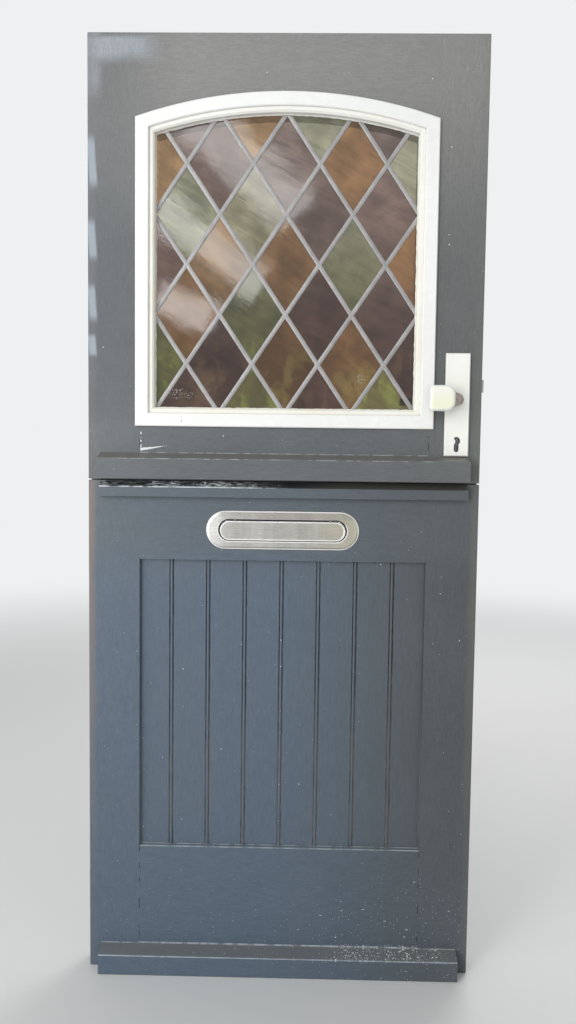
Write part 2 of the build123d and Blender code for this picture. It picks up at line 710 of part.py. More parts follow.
# Barrel bolts on the inside face. On the plane of one, X is the way the rod shoots and Z stands out.
def barrel_bolt_base(plane):
    """Base plate with two brackets that carry the rod."""
    rod_z = BARREL_BOLT_PLATE + BARREL_BOLT_ROD_PROUD
    bracket_radius = BARREL_BOLT_ROD_RADIUS + BARREL_BOLT_BRACKET_WALL
    starts = (
        BARREL_BOLT_BRACKET_INSET,
        BARREL_BOLT_LENGTH - BARREL_BOLT_BRACKET_INSET - BARREL_BOLT_BRACKET_LENGTH,
    )
    end_view = Plane(plane.origin, plane.y_dir, plane.x_dir)
    with BuildPart() as base:
        with BuildSketch(plane):
            with Locations((BARREL_BOLT_LENGTH / 2, 0)):
                RectangleRounded(BARREL_BOLT_LENGTH, BARREL_BOLT_WIDTH, BARREL_BOLT_PLATE)
        extrude(amount=BARREL_BOLT_PLATE)
        for start in starts:
            with BuildSketch(end_view.offset(start)):
                with Locations((0, rod_z)):
                    Circle(bracket_radius)
                    Rectangle(
                        2 * bracket_radius, BARREL_BOLT_ROD_PROUD, align=(Align.CENTER, Align.MAX)
                    )
                with Locations((0, BARREL_BOLT_PLATE)):
                    Rectangle(
                        2 * bracket_radius,
                        BARREL_BOLT_PLATE,
                        align=(Align.CENTER, Align.MAX),
                        mode=Mode.SUBTRACT,
                    )
                with Locations((0, rod_z)):
                    Circle(BARREL_BOLT_ROD_RADIUS + BARREL_BOLT_FIT, mode=Mode.SUBTRACT)
            extrude(amount=BARREL_BOLT_BRACKET_LENGTH)
        with Locations(bolt_screw_plane(plane)):
            with GridLocations(BARREL_BOLT_LENGTH / 2, BARREL_BOLT_HOLES_APART, 2, 2):
                CounterSinkHole(
                    SCREW_HOLE_RADIUS,
                    SCREW_SINK_RADIUS,
                    depth=BARREL_BOLT_PLATE,
                    counter_sink_angle=90,
                )
    return base.part


def bolt_screw_plane(plane):
    middle = plane.from_local_coords((BARREL_BOLT_LENGTH / 2, 0, BARREL_BOLT_PLATE))
    return Plane(middle, plane.x_dir, plane.z_dir)


def barrel_bolt_rod(plane):
    """The rod with its knob, drawn back."""
    rod_z = BARREL_BOLT_PLATE + BARREL_BOLT_ROD_PROUD
    end_view = Plane(plane.origin, plane.y_dir, plane.x_dir)
    rear = BARREL_BOLT_BRACKET_INSET / 2
    knob_at = (
        BARREL_BOLT_BRACKET_INSET + BARREL_BOLT_BRACKET_LENGTH + BARREL_BOLT_KNOB_RADIUS + KEEP_BELOW_LIP
    )
    with BuildPart() as rod:
        with BuildSketch(end_view.offset(rear)):
            with Locations((0, rod_z)):
                Circle(BARREL_BOLT_ROD_RADIUS)
        extrude(amount=BARREL_BOLT_LENGTH - BARREL_BOLT_TIP_SETBACK - rear)
        tip = rod.edges().filter_by(GeomType.CIRCLE).sort_by(Axis(plane.origin, plane.x_dir))[-1]
        chamfer(tip, BARREL_BOLT_ROD_RADIUS / 4)
        with BuildSketch(plane.offset(rod_z)):
            with Locations((knob_at, 0)):
                Circle(BARREL_BOLT_KNOB_RADIUS)
        extrude(amount=BARREL_BOLT_ROD_RADIUS + BARREL_BOLT_KNOB_HEIGHT)
        crown = rod.edges().filter_by(GeomType.CIRCLE).sort_by(Axis(plane.origin, plane.z_dir))[-1]
        fillet(crown, BARREL_BOLT_KNOB_RADIUS / 3)
    return rod.part


COUPLING_BOLT_X = OPENING_HALF - COUPLING_BOLT_INSET
door_bolt_start = LEAF_HALF - DOOR_BOLT_EDGE - BARREL_BOLT_LENGTH
door_bolt_plane = Plane(
    origin=(door_bolt_start, INSIDE, LOWER_HEIGHT - DOOR_BOLT_BELOW_TOP),
    x_dir=(1, 0, 0),
    z_dir=(0, 1, 0),
)
coupling_bolt_plane = Plane(
    origin=(COUPLING_BOLT_X, INSIDE, LIP_BOTTOM + COUPLING_BOLT_LIFT + BARREL_BOLT_LENGTH),
    x_dir=(0, 0, -1),
    z_dir=(0, 1, 0),
)
save(barrel_bolt_base(door_bolt_plane), "door_bolt_base")
save(barrel_bolt_rod(door_bolt_plane), "door_bolt_rod")
save(barrel_bolt_base(coupling_bolt_plane), "coupling_bolt_base")
save(barrel_bolt_rod(coupling_bolt_plane), "coupling_bolt_rod")

# Keep on the lower leaf that the coupling bolt shoots into
keep_top = LOWER_SHELF - KEEP_BELOW_LIP
rod_tip_height = LIP_BOTTOM + COUPLING_BOLT_LIFT + BARREL_BOLT_TIP_SETBACK
keep_bracket_length = keep_top - rod_tip_height + BARREL_BOLT_THROW + KEEP_SPARE
keep_plane = Plane(origin=(COUPLING_BOLT_X, INSIDE, keep_top), x_dir=(0, 0, -1), z_dir=(0, 1, 0))
keep_end_view = Plane(keep_plane.origin, keep_plane.y_dir, keep_plane.x_dir)
keep_rod_z = BARREL_BOLT_PLATE + BARREL_BOLT_ROD_PROUD
keep_radius = BARREL_BOLT_ROD_RADIUS + BARREL_BOLT_BRACKET_WALL
keep_screw_origin = keep_plane.from_local_coords(
    ((keep_bracket_length + KEEP_LENGTH) / 2, 0, BARREL_BOLT_PLATE)
)
keep_screw_plane = Plane(keep_screw_origin, keep_plane.x_dir, keep_plane.z_dir)
with BuildPart() as coupling_keep:
    with BuildSketch(keep_plane):
        with Locations((KEEP_LENGTH / 2, 0)):
            RectangleRounded(KEEP_LENGTH, BARREL_BOLT_WIDTH, BARREL_BOLT_PLATE)
    extrude(amount=BARREL_BOLT_PLATE)
    with BuildSketch(keep_end_view):
        with Locations((0, keep_rod_z)):
            Circle(keep_radius)
            Rectangle(2 * keep_radius, BARREL_BOLT_ROD_PROUD, align=(Align.CENTER, Align.MAX))
        with Locations((0, keep_rod_z)):
            Circle(BARREL_BOLT_ROD_RADIUS + KEEP_PLAY, mode=Mode.SUBTRACT)
    extrude(amount=keep_bracket_length)
    with Locations(keep_screw_plane):
        with GridLocations(1, BARREL_BOLT_HOLES_APART, 1, 2):
            CounterSinkHole(
                SCREW_HOLE_RADIUS,
                SCREW_SINK_RADIUS,
                depth=BARREL_BOLT_PLATE,
                counter_sink_angle=90,
            )
save(coupling_keep.part, "coupling_keep")

# Upper leaf: stiles, the lock stile mortised for the lock
CASE_BOTTOM = CYLINDER_Z - LOCK_CASE_BELOW_CYLINDER
CASE_TOP = SPINDLE_Z + LOCK_CASE_ABOVE_SPINDLE
FOREND_BOTTOM = CASE_BOTTOM - FOREND_OVERHANG
FOREND_TOP = CASE_TOP + FOREND_OVERHANG
PLATE_SCREWS_Z = (
    PLATE_BOTTOM + PLATE_HEIGHT - PLATE_SCREW_BELOW_TOP,
    SPINDLE_Z - PLATE_SCREW_BELOW_SPINDLE,
)


def cylinder_hole(ease):
    """Outline of the profile-cylinder hole, a round over a narrower slot, widened by ease."""
    with BuildSketch() as hole:
        with Locations((LOCK_X, CYLINDER_Z)):
            Circle(CYLINDER_RADIUS + ease)
        slot_end = CYLINDER_Z + CYLINDER_RADIUS - CYLINDER_HEIGHT + CYLINDER_SLOT / 2
        with Locations((LOCK_X, slot_end)):
            Circle(CYLINDER_SLOT / 2 + ease)
            Rectangle(
                CYLINDER_SLOT + 2 * ease, CYLINDER_Z - slot_end, align=(Align.CENTER, Align.MIN)
            )
    return hole.sketch


def lock_case_block(play):
    """The lock's case and forend, or with some play the mortise that they slide into."""
    case_right = LEAF_HALF - FOREND_THICKNESS
    with BuildPart() as block:
        with BuildSketch(Plane.XY.offset(CASE_BOTTOM - play)):
            with Locations((case_right, 0)):
                Rectangle(
                    LOCK_CASE_DEPTH + play,
                    LOCK_CASE_THICKNESS + 2 * play,
                    align=(Align.MAX, Align.CENTER),
                )
        extrude(amount=CASE_TOP - CASE_BOTTOM + 2 * play)
        with BuildSketch(Plane.XY.offset(FOREND_BOTTOM)):
            with Locations((case_right, 0)):
                Rectangle(FOREND_THICKNESS, FOREND_WIDTH, align=(Align.MIN, Align.CENTER))
        extrude(amount=FOREND_TOP - FOREND_BOTTOM)
    return block.part


upper_stiles = {"upper_hinge_stile": -1, "upper_lock_stile": 1}
for name, side in upper_stiles.items():
    with BuildPart() as stile:
        add(stile_block(side, LIP_BOTTOM, DOOR_HEIGHT))
        add(upper_rebate, mode=Mode.SUBTRACT)
        add(sill_tenons, mode=Mode.SUBTRACT)
        add(crown_tenons, mode=Mode.SUBTRACT)
        if side < 0:
            for middle in UPPER_HINGES:
                add(hinge_mortise(middle), mode=Mode.SUBTRACT)
        else:
            add(lock_case_block(LOCK_CASE_PLAY), mode=Mode.SUBTRACT)
            with BuildSketch(upright(INSIDE)):
                add(cylinder_hole(TIMBER_EASE))
                with Locations((LOCK_X, SPINDLE_Z)):
                    Circle(SPINDLE_HOLE_RADIUS)
                with Locations(*[(LOCK_X, z) for z in PLATE_SCREWS_Z]):
                    Circle(PLATE_BOSS_RADIUS + SCREW_PLAY)
            extrude(amount=LEAF_THICKNESS, mode=Mode.SUBTRACT)
    save(stile.part, name)

# Upper leaf: sill rail, with the lip that covers the joint on the inside
with BuildPart() as upper_bottom_rail:
    add(rail_block(LIP_BOTTOM, SILL))
    add(upper_rebate, mode=Mode.SUBTRACT)
    add(sill_tenons)
save(upper_bottom_rail.part, "upper_bottom_rail")

# Upper leaf: top rail, cut to the arch
with BuildPart() as upper_top_rail:
    with BuildSketch(upright(INSIDE)):
        with Locations((0, DOOR_HEIGHT)):
            Rectangle(
                2 * OPENING_HALF, DOOR_HEIGHT - window_spring(0), align=(Align.CENTER, Align.MAX)
            )
        add(window_face(0), mode=Mode.SUBTRACT)
    extrude(amount=LEAF_THICKNESS)
    add(crown_tenons)
save(upper_top_rail.part, "upper_top_rail")

# Arched light: depths of the rings that hold the leaded glass
LEAD_FRONT = OUTSIDE + LEAD_SETBACK
CAME_DEPTH = 2 * (CAME_CROWN + CAME_FLANGE) + GLASS_THICKNESS
LEAD_BACK = LEAD_FRONT + CAME_DEPTH
SURROUND_INNER = SURROUND_FACE - SURROUND_LAP
SIGHT_INSET = SURROUND_INNER + GLAZING_BEAD_FACE
REGION_MARGIN = SURROUND_LAP + SURROUND_FACE


def window_corner(inset, side, top):
    """A corner of the light's outline, drawn inside the timber opening by inset."""
    return (side * (OPENING_HALF - inset), window_spring(inset) if top else SILL + inset)


def member_region(member, butt_inset):
    """The part of the elevation that one member of a ring fills.

    The top corners are mitred. So are the bottom ones, unless butt_inset gives the line along which
    the bottom member butts between the two uprights.
    """
    out = -REGION_MARGIN
    into = SIGHT_INSET + SURROUND_LAP if butt_inset is None else butt_inset
    if member in ("left", "right"):
        side = -1 if member == "left" else 1
        corners = [window_corner(out, side, True), window_corner(into, side, True)]
        if butt_inset is None:
            corners += [window_corner(into, side, False), window_corner(out, side, False)]
        else:
            floor = SILL - REGION_MARGIN
            corners += [(corners[1][0], floor), (corners[0][0], floor)]
    elif member == "bottom":
        corners = [window_corner(into, 1, False), window_corner(into, -1, False)]
        if butt_inset is None:
            corners += [window_corner(out, -1, False), window_corner(out, 1, False)]
        else:
            floor = SILL - REGION_MARGIN
            corners += [(corners[1][0], floor), (corners[0][0], floor)]
    else:
        ceiling = CROWN + REGION_MARGIN
        corners = [
            window_corner(out, -1, True),
            (-OPENING_HALF + out, ceiling),
            (OPENING_HALF - out, ceiling),
            window_corner(out, 1, True),
            window_corner(into, 1, True),
            window_corner(into, -1, True),
        ]
    with BuildSketch() as region:
        with BuildLine():
            Polyline(*corners, close=True)
        make_face()
    return region.sketch


def ring(outer, inner, y_front, y_back):
    """A ring round the light between two insets, from depth y_front to depth y_back."""
    with BuildPart() as band:
        with BuildSketch(upright(y_back)):
            add(window_face(outer))
            add(window_face(inner), mode=Mode.SUBTRACT)
        extrude(amount=y_back - y_front)
    return band.part


def cut_members(solid, prefix, butt_inset):
    """Cuts a ring into its four members and saves each as a piece."""
    depth = LEAF_THICKNESS + SURROUND_PROUD
    for member in ("left", "right", "arch", "bottom"):
        with BuildPart() as piece:
            add(solid)
            with BuildSketch(upright(0)):
                add(member_region(member, butt_inset))
            extrude(amount=depth, both=True, mode=Mode.INTERSECT)
        save(piece.part, f"{prefix}_{member}")


# Surround on the outside: a flat proud of the leaf, and a body in the opening behind it
with BuildPart() as surround:
    add(ring(-SURROUND_LAP, SURROUND_INNER, OUTSIDE - SURROUND_PROUD, OUTSIDE))
    chamfer(surround.faces().sort_by(Axis.Y)[0].edges(), SURROUND_ARRIS)
    add(ring(0, SURROUND_INNER, OUTSIDE, LEAD_BACK))
cut_members(surround.part, "surround", SURROUND_INNER)

# Glazing beads: they hold the leaded glass from outside, their face sloped towards it
with BuildPart() as beads:
    add(ring(SURROUND_INNER, SIGHT_INSET, OUTSIDE - GLAZING_BEAD_SETBACK, LEAD_FRONT))
    sight_edges = beads.faces().sort_by(Axis.Y)[0].inner_wires().edges()
    chamfer(sight_edges, GLAZING_BEAD_SLOPE)
cut_members(beads.part, "glazing_bead", None)

# Casing on the inside: it closes the opening behind the glass and laps the timber as outside
with BuildPart() as casing:
    add(ring(-SURROUND_LAP, SIGHT_INSET, INSIDE, INSIDE + SURROUND_PROUD))
    chamfer(casing.faces().sort_by(Axis.Y)[-1].edges(), SURROUND_ARRIS)
    add(ring(0, SIGHT_INSET, LEAD_BACK, INSIDE))
cut_members(casing.part, "casing", None)

# Leaded glass: lozenges between diagonal cames
BORDER_INSET = LEAD_INSET + BORDER_CAME_WIDTH
lattice_half = OPENING_HALF - LEAD_INSET - BORDER_CAME_WIDTH / 2
lattice_bottom = SILL + LEAD_INSET
lattice_top = CROWN - LEAD_INSET - BORDER_CAME_WIDTH / 2
lozenge_half_width = lattice_half / LOZENGES_WIDE
lozenge_half_height = (lattice_top - lattice_bottom) / LOZENGES_HIGH / 2
lozenge_reach = (
    lozenge_half_width
    * lozenge_half_height
    / sqrt(lozenge_half_width**2 + lozenge_half_height**2)
)

# The glass of each lozenge, row by row from the sill: a for amber, g for green, p for purple
PANE_ROWS = ("pgpg", "gpaap", "agpp", "paaga", "ggpp", "appag", "pagp")


def lozenge_middles(colour):
    """Middles of the lozenges of one colour, or of all of them."""
    middles = []
    for row, pattern in enumerate(PANE_ROWS[: 2 * LOZENGES_HIGH + 1]):
        for i, glass in enumerate(pattern):
            x = (2 * i - len(pattern) + 1) * lozenge_half_width
            if colour in (None, glass):
                middles.append((x, lattice_bottom + row * lozenge_half_height))
    return middles


def lozenges(colour, drawn_in, border):
    """Lozenges drawn in on each side, and cut off along the light's outline at the border inset."""
    share = 1 - drawn_in / lozenge_reach
    width = lozenge_half_width * share
    height = lozenge_half_height * share
    with BuildSketch() as panes:
        with Locations(*lozenge_middles(colour)):
            Polygon((width, 0), (0, height), (-width, 0), (0, -height))
        add(window_face(border), mode=Mode.INTERSECT)
    return panes.sketch


def came_layer(openings, y_back, thickness):
    """One layer of the soldered lattice: the panel's outline less the openings."""
    with BuildPart() as layer:
        with BuildSketch(upright(y_back)):
            add(window_face(LEAD_INSET))
            add(openings, mode=Mode.SUBTRACT)
        extrude(amount=thickness)
    return layer.part


flange_openings = lozenges(None, CAME_WIDTH / 2, BORDER_INSET)
crown_openings = lozenges(None, CAME_WIDTH / 2 - CAME_CROWN, BORDER_INSET - CAME_CROWN)
heart_border = LEAD_INSET + (BORDER_CAME_WIDTH + CAME_HEART) / 2
heart_openings = lozenges(None, CAME_HEART / 2, heart_border)
with BuildPart() as lead_cames:
    glass_front = LEAD_FRONT + CAME_CROWN + CAME_FLANGE
    glass_back = glass_front + GLASS_THICKNESS
    add(came_layer(crown_openings, glass_front - CAME_FLANGE, CAME_CROWN))
    add(came_layer(flange_openings, glass_front, CAME_FLANGE))
    add(came_layer(heart_openings, glass_back, GLASS_THICKNESS))
    add(came_layer(flange_openings, glass_back + CAME_FLANGE, CAME_FLANGE))
    add(came_layer(crown_openings, LEAD_BACK, CAME_CROWN))
save(lead_cames.part, "lead_cames")

glass_nodes = {"amber_glass": "a", "green_glass": "g", "purple_glass": "p"}
for name, colour in glass_nodes.items():
    with BuildPart() as panes:
        with BuildSketch(upright(glass_back)):
            add(lozenges(colour, CAME_HEART / 2 + GLASS_PLAY, heart_border + GLASS_PLAY))
        extrude(amount=GLASS_THICKNESS)
    save(panes.part, name)

# Lock case with its forend, hollowed for the bolts and bored for follower, cylinder and screw
bolt_back = LEAF_HALF - BOLT_LENGTH
latch_z = SPINDLE_Z + LATCH_ABOVE_SPINDLE
dead_bolt_z = CYLINDER_Z + DEAD_BOLT_ABOVE_CYLINDER


def bolt_block(z, height, left, right, play):
    """A bolt's rectangular body between two X positions, or with some play its pocket."""
    with BuildPart() as block:
        with BuildSketch(Plane.YZ.offset(left)):
            with Locations((0, z)):
                Rectangle(BOLT_THICKNESS + 2 * play, height + 2 * play)
        extrude(amount=right - left)
    return block.part


with BuildPart() as lock_case:
    add(lock_case_block(0))
    add(
        bolt_block(latch_z, LATCH_HEIGHT, bolt_back - LATCH_THROW, LEAF_HALF, BOLT_FIT),
        mode=Mode.SUBTRACT,
    )
    add(
        bolt_block(dead_bolt_z, DEAD_BOLT_HEIGHT, bolt_back, LEAF_HALF, BOLT_FIT),
        mode=Mode.SUBTRACT,
    )
    with BuildSketch(upright(LOCK_CASE_THICKNESS / 2)):
        add(cylinder_hole(0))
        with Locations((LOCK_X, SPINDLE_Z)):
            Circle(FOLLOWER_RADIUS + FOLLOWER_FIT)
        with Locations((LOCK_X, PLATE_SCREWS_Z[1])):
            Circle(MACHINE_SCREW_HOLE)
    extrude(amount=LOCK_CASE_THICKNESS, mode=Mode.SUBTRACT)
    forend_plane = Plane(
        origin=(LEAF_HALF, 0, (FOREND_TOP + FOREND_BOTTOM) / 2), x_dir=(0, 0, 1), z_dir=(1, 0, 0)
    )
    with Locations(forend_plane):
        with GridLocations(FOREND_TOP - FOREND_BOTTOM - 2 * FOREND_HOLE_INSET, 1, 2, 1):
            CounterSinkHole(
                SCREW_HOLE_RADIUS, SCREW_SINK_RADIUS, depth=FOREND_THICKNESS, counter_sink_angle=90
            )
save(lock_case.part, "lock_case")

# Latch, its nose bevelled on the outside so that it rides over the strike as the door shuts
with BuildPart() as latch_bolt:
    add(bolt_block(latch_z, LATCH_HEIGHT, bolt_back, LEAF_HALF + LATCH_THROW, 0))
    with BuildSketch(Plane.XY.offset(latch_z - LATCH_HEIGHT / 2)):
        with BuildLine():
            Polyline(
                (LEAF_HALF + LATCH_THROW, -BOLT_THICKNESS / 2),
                (LEAF_HALF, -BOLT_THICKNESS / 2),
                (LEAF_HALF + LATCH_THROW, BOLT_THICKNESS / 2 - ARRIS),
                close=True,
            )
        make_face()
    extrude(amount=LATCH_HEIGHT, mode=Mode.SUBTRACT)
save(latch_bolt.part, "latch_bolt")

with BuildPart() as dead_bolt:
    add(bolt_block(dead_bolt_z, DEAD_BOLT_HEIGHT, bolt_back, LEAF_HALF, 0))
    chamfer(dead_bolt.faces().sort_by(Axis.X)[-1].edges(), ARRIS / 2)
save(dead_bolt.part, "dead_bolt")

with BuildPart() as lock_follower:
    with BuildSketch(upright(LOCK_CASE_THICKNESS / 2)):
        with Locations((LOCK_X, SPINDLE_Z)):
            Circle(FOLLOWER_RADIUS)
            square = SPINDLE_SIDE + 2 * SPINDLE_FIT
            Rectangle(square, square, mode=Mode.SUBTRACT)
    extrude(amount=LOCK_CASE_THICKNESS)
save(lock_follower.part, "lock_follower")

# Half spindle from the follower into the inside lever
LEVER_AXIS_Y = INSIDE + PLATE_THICKNESS + LEVER_STANDOFF
with BuildPart() as spindle:
    with BuildSketch(upright(LEVER_AXIS_Y)):
        with Locations((LOCK_X, SPINDLE_Z)):
            Rectangle(SPINDLE_SIDE, SPINDLE_SIDE)
    extrude(amount=LEVER_AXIS_Y + LOCK_CASE_THICKNESS / 2)
save(spindle.part, "spindle")


# Long plates, outside and inside
def long_plate(y, outwards):
    """A lock plate on the leaf's face at depth y, standing out by its thickness."""
    with BuildPart() as plate:
        with BuildSketch(upright(y)):
            with Locations((LOCK_X, PLATE_MIDDLE)):
                Rectangle(PLATE_WIDTH, PLATE_HEIGHT)
        extrude(amount=outwards * PLATE_THICKNESS)
        chamfer(plate.faces().sort_by(Axis.Y)[0 if outwards > 0 else -1].edges(), PLATE_BEVEL)
        with BuildSketch(upright(y)):
            add(cylinder_hole(CYLINDER_EASE))
        extrude(amount=outwards * PLATE_THICKNESS, mode=Mode.SUBTRACT)
    return plate.part


with BuildPart() as outer_plate:
    add(long_plate(OUTSIDE, 1))
    for z in PLATE_SCREWS_Z:
        with BuildSketch(upright(OUTSIDE)):
            with Locations((LOCK_X, z)):
                Circle(PLATE_BOSS_RADIUS)
                Circle(MACHINE_SCREW_RADIUS + MACHINE_SCREW_FIT, mode=Mode.SUBTRACT)
        extrude(amount=-PLATE_BOSS_LENGTH)
save(outer_plate.part, "outer_plate")

with BuildPart() as inner_plate:
    add(long_plate(INSIDE, -1))
    with BuildSketch(upright(INSIDE)):
        with Locations((LOCK_X, SPINDLE_Z)):
            Circle(LEVER_RADIUS + LEVER_FIT)
        with Locations(*[(LOCK_X, z) for z in PLATE_SCREWS_Z]):
            Circle(MACHINE_SCREW_HOLE)
    extrude(amount=-PLATE_THICKNESS, mode=Mode.SUBTRACT)
save(inner_plate.part, "inner_plate")

# Fixed knob, cranked towards the hinge side to keep the hand off the frame
KNOB_BACK = OUTSIDE - PLATE_THICKNESS - KNOB_STANDOFF
KNOB_X = LOCK_X - KNOB_OFFSET
with BuildPart() as knob:
    with BuildSketch(upright(KNOB_BACK)):
        with Locations((KNOB_X, SPINDLE_Z)):
            Rectangle(KNOB_SIZE, KNOB_SIZE)
        fillet(vertices().group_by(Axis.X)[0], KNOB_TIGHT_CORNER)
        fillet(vertices().group_by(Axis.X)[-1], KNOB_LOOSE_CORNER)
    extrude(amount=KNOB_DEPTH)
    fillet(knob.faces().sort_by(Axis.Y)[0].edges(), KNOB_FACE_ROUND)
    fillet(knob.faces().sort_by(Axis.Y)[-1].edges(), KNOB_BACK_ROUND)
    with BuildSketch(upright(OUTSIDE - PLATE_THICKNESS)):
        with Locations((LOCK_X, SPINDLE_Z)):
            Circle(KNOB_NECK_RADIUS)
    with BuildSketch(upright(KNOB_BACK - KNOB_BACK_ROUND)):
        with Locations((KNOB_X + KNOB_SIZE / 2 - KNOB_NECK_FLARE, SPINDLE_Z)):
            Circle(KNOB_NECK_FLARE)
    loft()
save(knob.part, "knob")

# Lever on the inside: a round neck through the plate and a round grip towards the hinges
with BuildPart() as lever_handle:
    neck_start = INSIDE + LEVER_TRAVEL_GAP
    grip_end = (LOCK_X - LEVER_LENGTH, LEVER_AXIS_Y)
    with BuildLine(Plane.XY.offset(SPINDLE_Z)) as lever_path:
        FilletPolyline(
            (LOCK_X, neck_start),
            (LOCK_X, LEVER_AXIS_Y),
            grip_end,
            radius=LEVER_RADIUS * 1.4,
        )
    with BuildSketch(Plane(origin=(LOCK_X, neck_start, SPINDLE_Z), z_dir=(0, 1, 0))):
        Circle(LEVER_RADIUS)
    sweep()
    fillet(lever_handle.edges().sort_by(Axis.X)[0], LEVER_RADIUS / 3)
    with BuildSketch(upright(neck_start)):
        with Locations((LOCK_X, SPINDLE_Z)):
            socket = SPINDLE_SIDE + 2 * SPINDLE_FIT
            Rectangle(socket, socket)
    extrude(amount=-(LEVER_AXIS_Y - neck_start), mode=Mode.SUBTRACT)
save(lever_handle.part, "lever_handle")

# Hinges: door flaps on each leaf, frame flaps and pins on the frame's side
hinge_groups = {
    "lower_hinge_flaps": (1, LOWER_HINGES),
    "upper_hinge_flaps": (1, UPPER_HINGES),
    "frame_hinge_flaps": (-1, (*LOWER_HINGES, *UPPER_HINGES)),
}
for name, (side, middles) in hinge_groups.items():
    with BuildPart() as flaps:
        for middle in middles:
            add(hinge_flap(side, middle))
    save(flaps.part, name)

with BuildPart() as hinge_pins:
    for middle in (*LOWER_HINGES, *UPPER_HINGES):
        add(hinge_pin(middle))
save(hinge_pins.part, "hinge_pins")


# Screws
def hinge_screw_planes(middles):
    planes = []
    for middle in middles:
        planes += grid_planes(
            hinge_screw_plane(1, middle), HINGE_HOLES_APART_Z, HINGE_HOLES_APART_Y
        )
    return planes


def bolt_screw_planes(plane):
    return grid_planes(bolt_screw_plane(plane), BARREL_BOLT_LENGTH / 2, BARREL_BOLT_HOLES_APART)


keep_screw_planes = [
    Plane(
        keep_screw_plane.from_local_coords((0, side * BARREL_BOLT_HOLES_APART / 2, 0)),
        keep_screw_plane.x_dir,
        keep_screw_plane.z_dir,
    )
    for side in (-1, 1)
]
forend_screw_planes = [
    Plane((LEAF_HALF, 0, z), forend_plane.x_dir, forend_plane.z_dir)
    for z in (FOREND_BOTTOM + FOREND_HOLE_INSET, FOREND_TOP - FOREND_HOLE_INSET)
]
with BuildPart() as lower_screws:
    add(screws_at(hinge_screw_planes(LOWER_HINGES)))
    add(screws_at(bolt_screw_planes(door_bolt_plane)))
    add(screws_at(keep_screw_planes))
    letter_tip = OUTSIDE + MACHINE_SCREW_HEAD
    for x in letter_bolt_ends:
        add(machine_screw(x, LETTER_HEIGHT, INSIDE + INNER_FRAME_THICKNESS, letter_tip))
save(lower_screws.part, "lower_screws")

with BuildPart() as upper_screws:
    add(screws_at(hinge_screw_planes(UPPER_HINGES)))
    add(screws_at(bolt_screw_planes(coupling_bolt_plane)))
    add(screws_at(forend_screw_planes))
    plate_tip = OUTSIDE + MACHINE_SCREW_HEAD
    for z in PLATE_SCREWS_Z:
        add(machine_screw(LOCK_X, z, INSIDE + PLATE_THICKNESS, plate_tip))
save(upper_screws.part, "upper_screws")
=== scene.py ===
import math
import random
from functools import partial, reduce

import bmesh
import bpy
from mathutils import Matrix, Vector, noise


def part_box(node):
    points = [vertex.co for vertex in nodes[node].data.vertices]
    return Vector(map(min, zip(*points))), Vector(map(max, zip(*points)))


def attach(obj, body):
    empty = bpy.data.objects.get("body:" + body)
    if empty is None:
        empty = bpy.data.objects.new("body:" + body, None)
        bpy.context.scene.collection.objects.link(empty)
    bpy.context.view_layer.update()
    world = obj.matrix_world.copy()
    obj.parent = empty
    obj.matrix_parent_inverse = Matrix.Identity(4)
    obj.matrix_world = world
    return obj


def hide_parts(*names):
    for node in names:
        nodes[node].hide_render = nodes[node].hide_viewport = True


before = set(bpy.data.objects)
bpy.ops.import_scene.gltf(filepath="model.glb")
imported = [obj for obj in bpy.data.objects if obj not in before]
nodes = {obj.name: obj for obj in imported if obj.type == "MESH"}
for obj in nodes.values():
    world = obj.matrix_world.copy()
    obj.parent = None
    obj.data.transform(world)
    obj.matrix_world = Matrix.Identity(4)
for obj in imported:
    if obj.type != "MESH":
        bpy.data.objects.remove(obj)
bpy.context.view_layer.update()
random.seed(11)

# Metres, in the frame of the solids: X to the lock side, Y from outside to inside, Z up
STILE_LOW, STILE_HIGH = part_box("upper_hinge_stile")
OUTSIDE = STILE_LOW.y
LEAF_HALF = -STILE_LOW.x
DOOR_TOP = STILE_HIGH.z

# The light's opening in the timber, with its arched top
OPENING_HALF = -STILE_HIGH.x
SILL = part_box("upper_bottom_rail")[1].z
ARCH_RISE = 0.053
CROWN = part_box("upper_top_rail")[0].z + ARCH_RISE
ARCH_RADIUS = (OPENING_HALF**2 + ARCH_RISE**2) / (2 * ARCH_RISE)
ARCH_CENTRE = CROWN - ARCH_RADIUS

# Leaded light
CAMES_LOW, CAMES_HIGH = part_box("lead_cames")
LEAD_FRONT = CAMES_LOW.y
GLASS_FRONT, GLASS_BACK = (corner.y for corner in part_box("amber_glass"))
SIGHT_INSET = OPENING_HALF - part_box("glazing_bead_right")[0].x
BORDER_CAME_HALF = 0.006
BORDER_CAME_INSET = OPENING_HALF - CAMES_HIGH.x + BORDER_CAME_HALF
CAME_HALF = 0.005
HEART_HALF = 0.0008
SHORTEST_CAME = 0.02
LATTICE_BOTTOM = CAMES_LOW.z
LATTICE_ROWS = 6
LOZENGE_HALF_WIDTH = 0.074
LOZENGE_HALF_HEIGHT = (CROWN - BORDER_CAME_INSET - LATTICE_BOTTOM) / LATTICE_ROWS
LATTICE_REACH = int(OPENING_HALF / LOZENGE_HALF_WIDTH)

# Solder: distance from the timber, sizes and height
SOLDER_INSET = 0.040
SOLDER_SIZES = (0.0062, 0.0074)
SOLDER_HEIGHT = 0.00165

# Putty: mean and variation of its reach and height, and the spacing of its sections
PUTTY_REACH = (0.0022, 0.0011)
PUTTY_HEIGHT = (0.0024, 0.0008)
PUTTY_STEP = 0.005

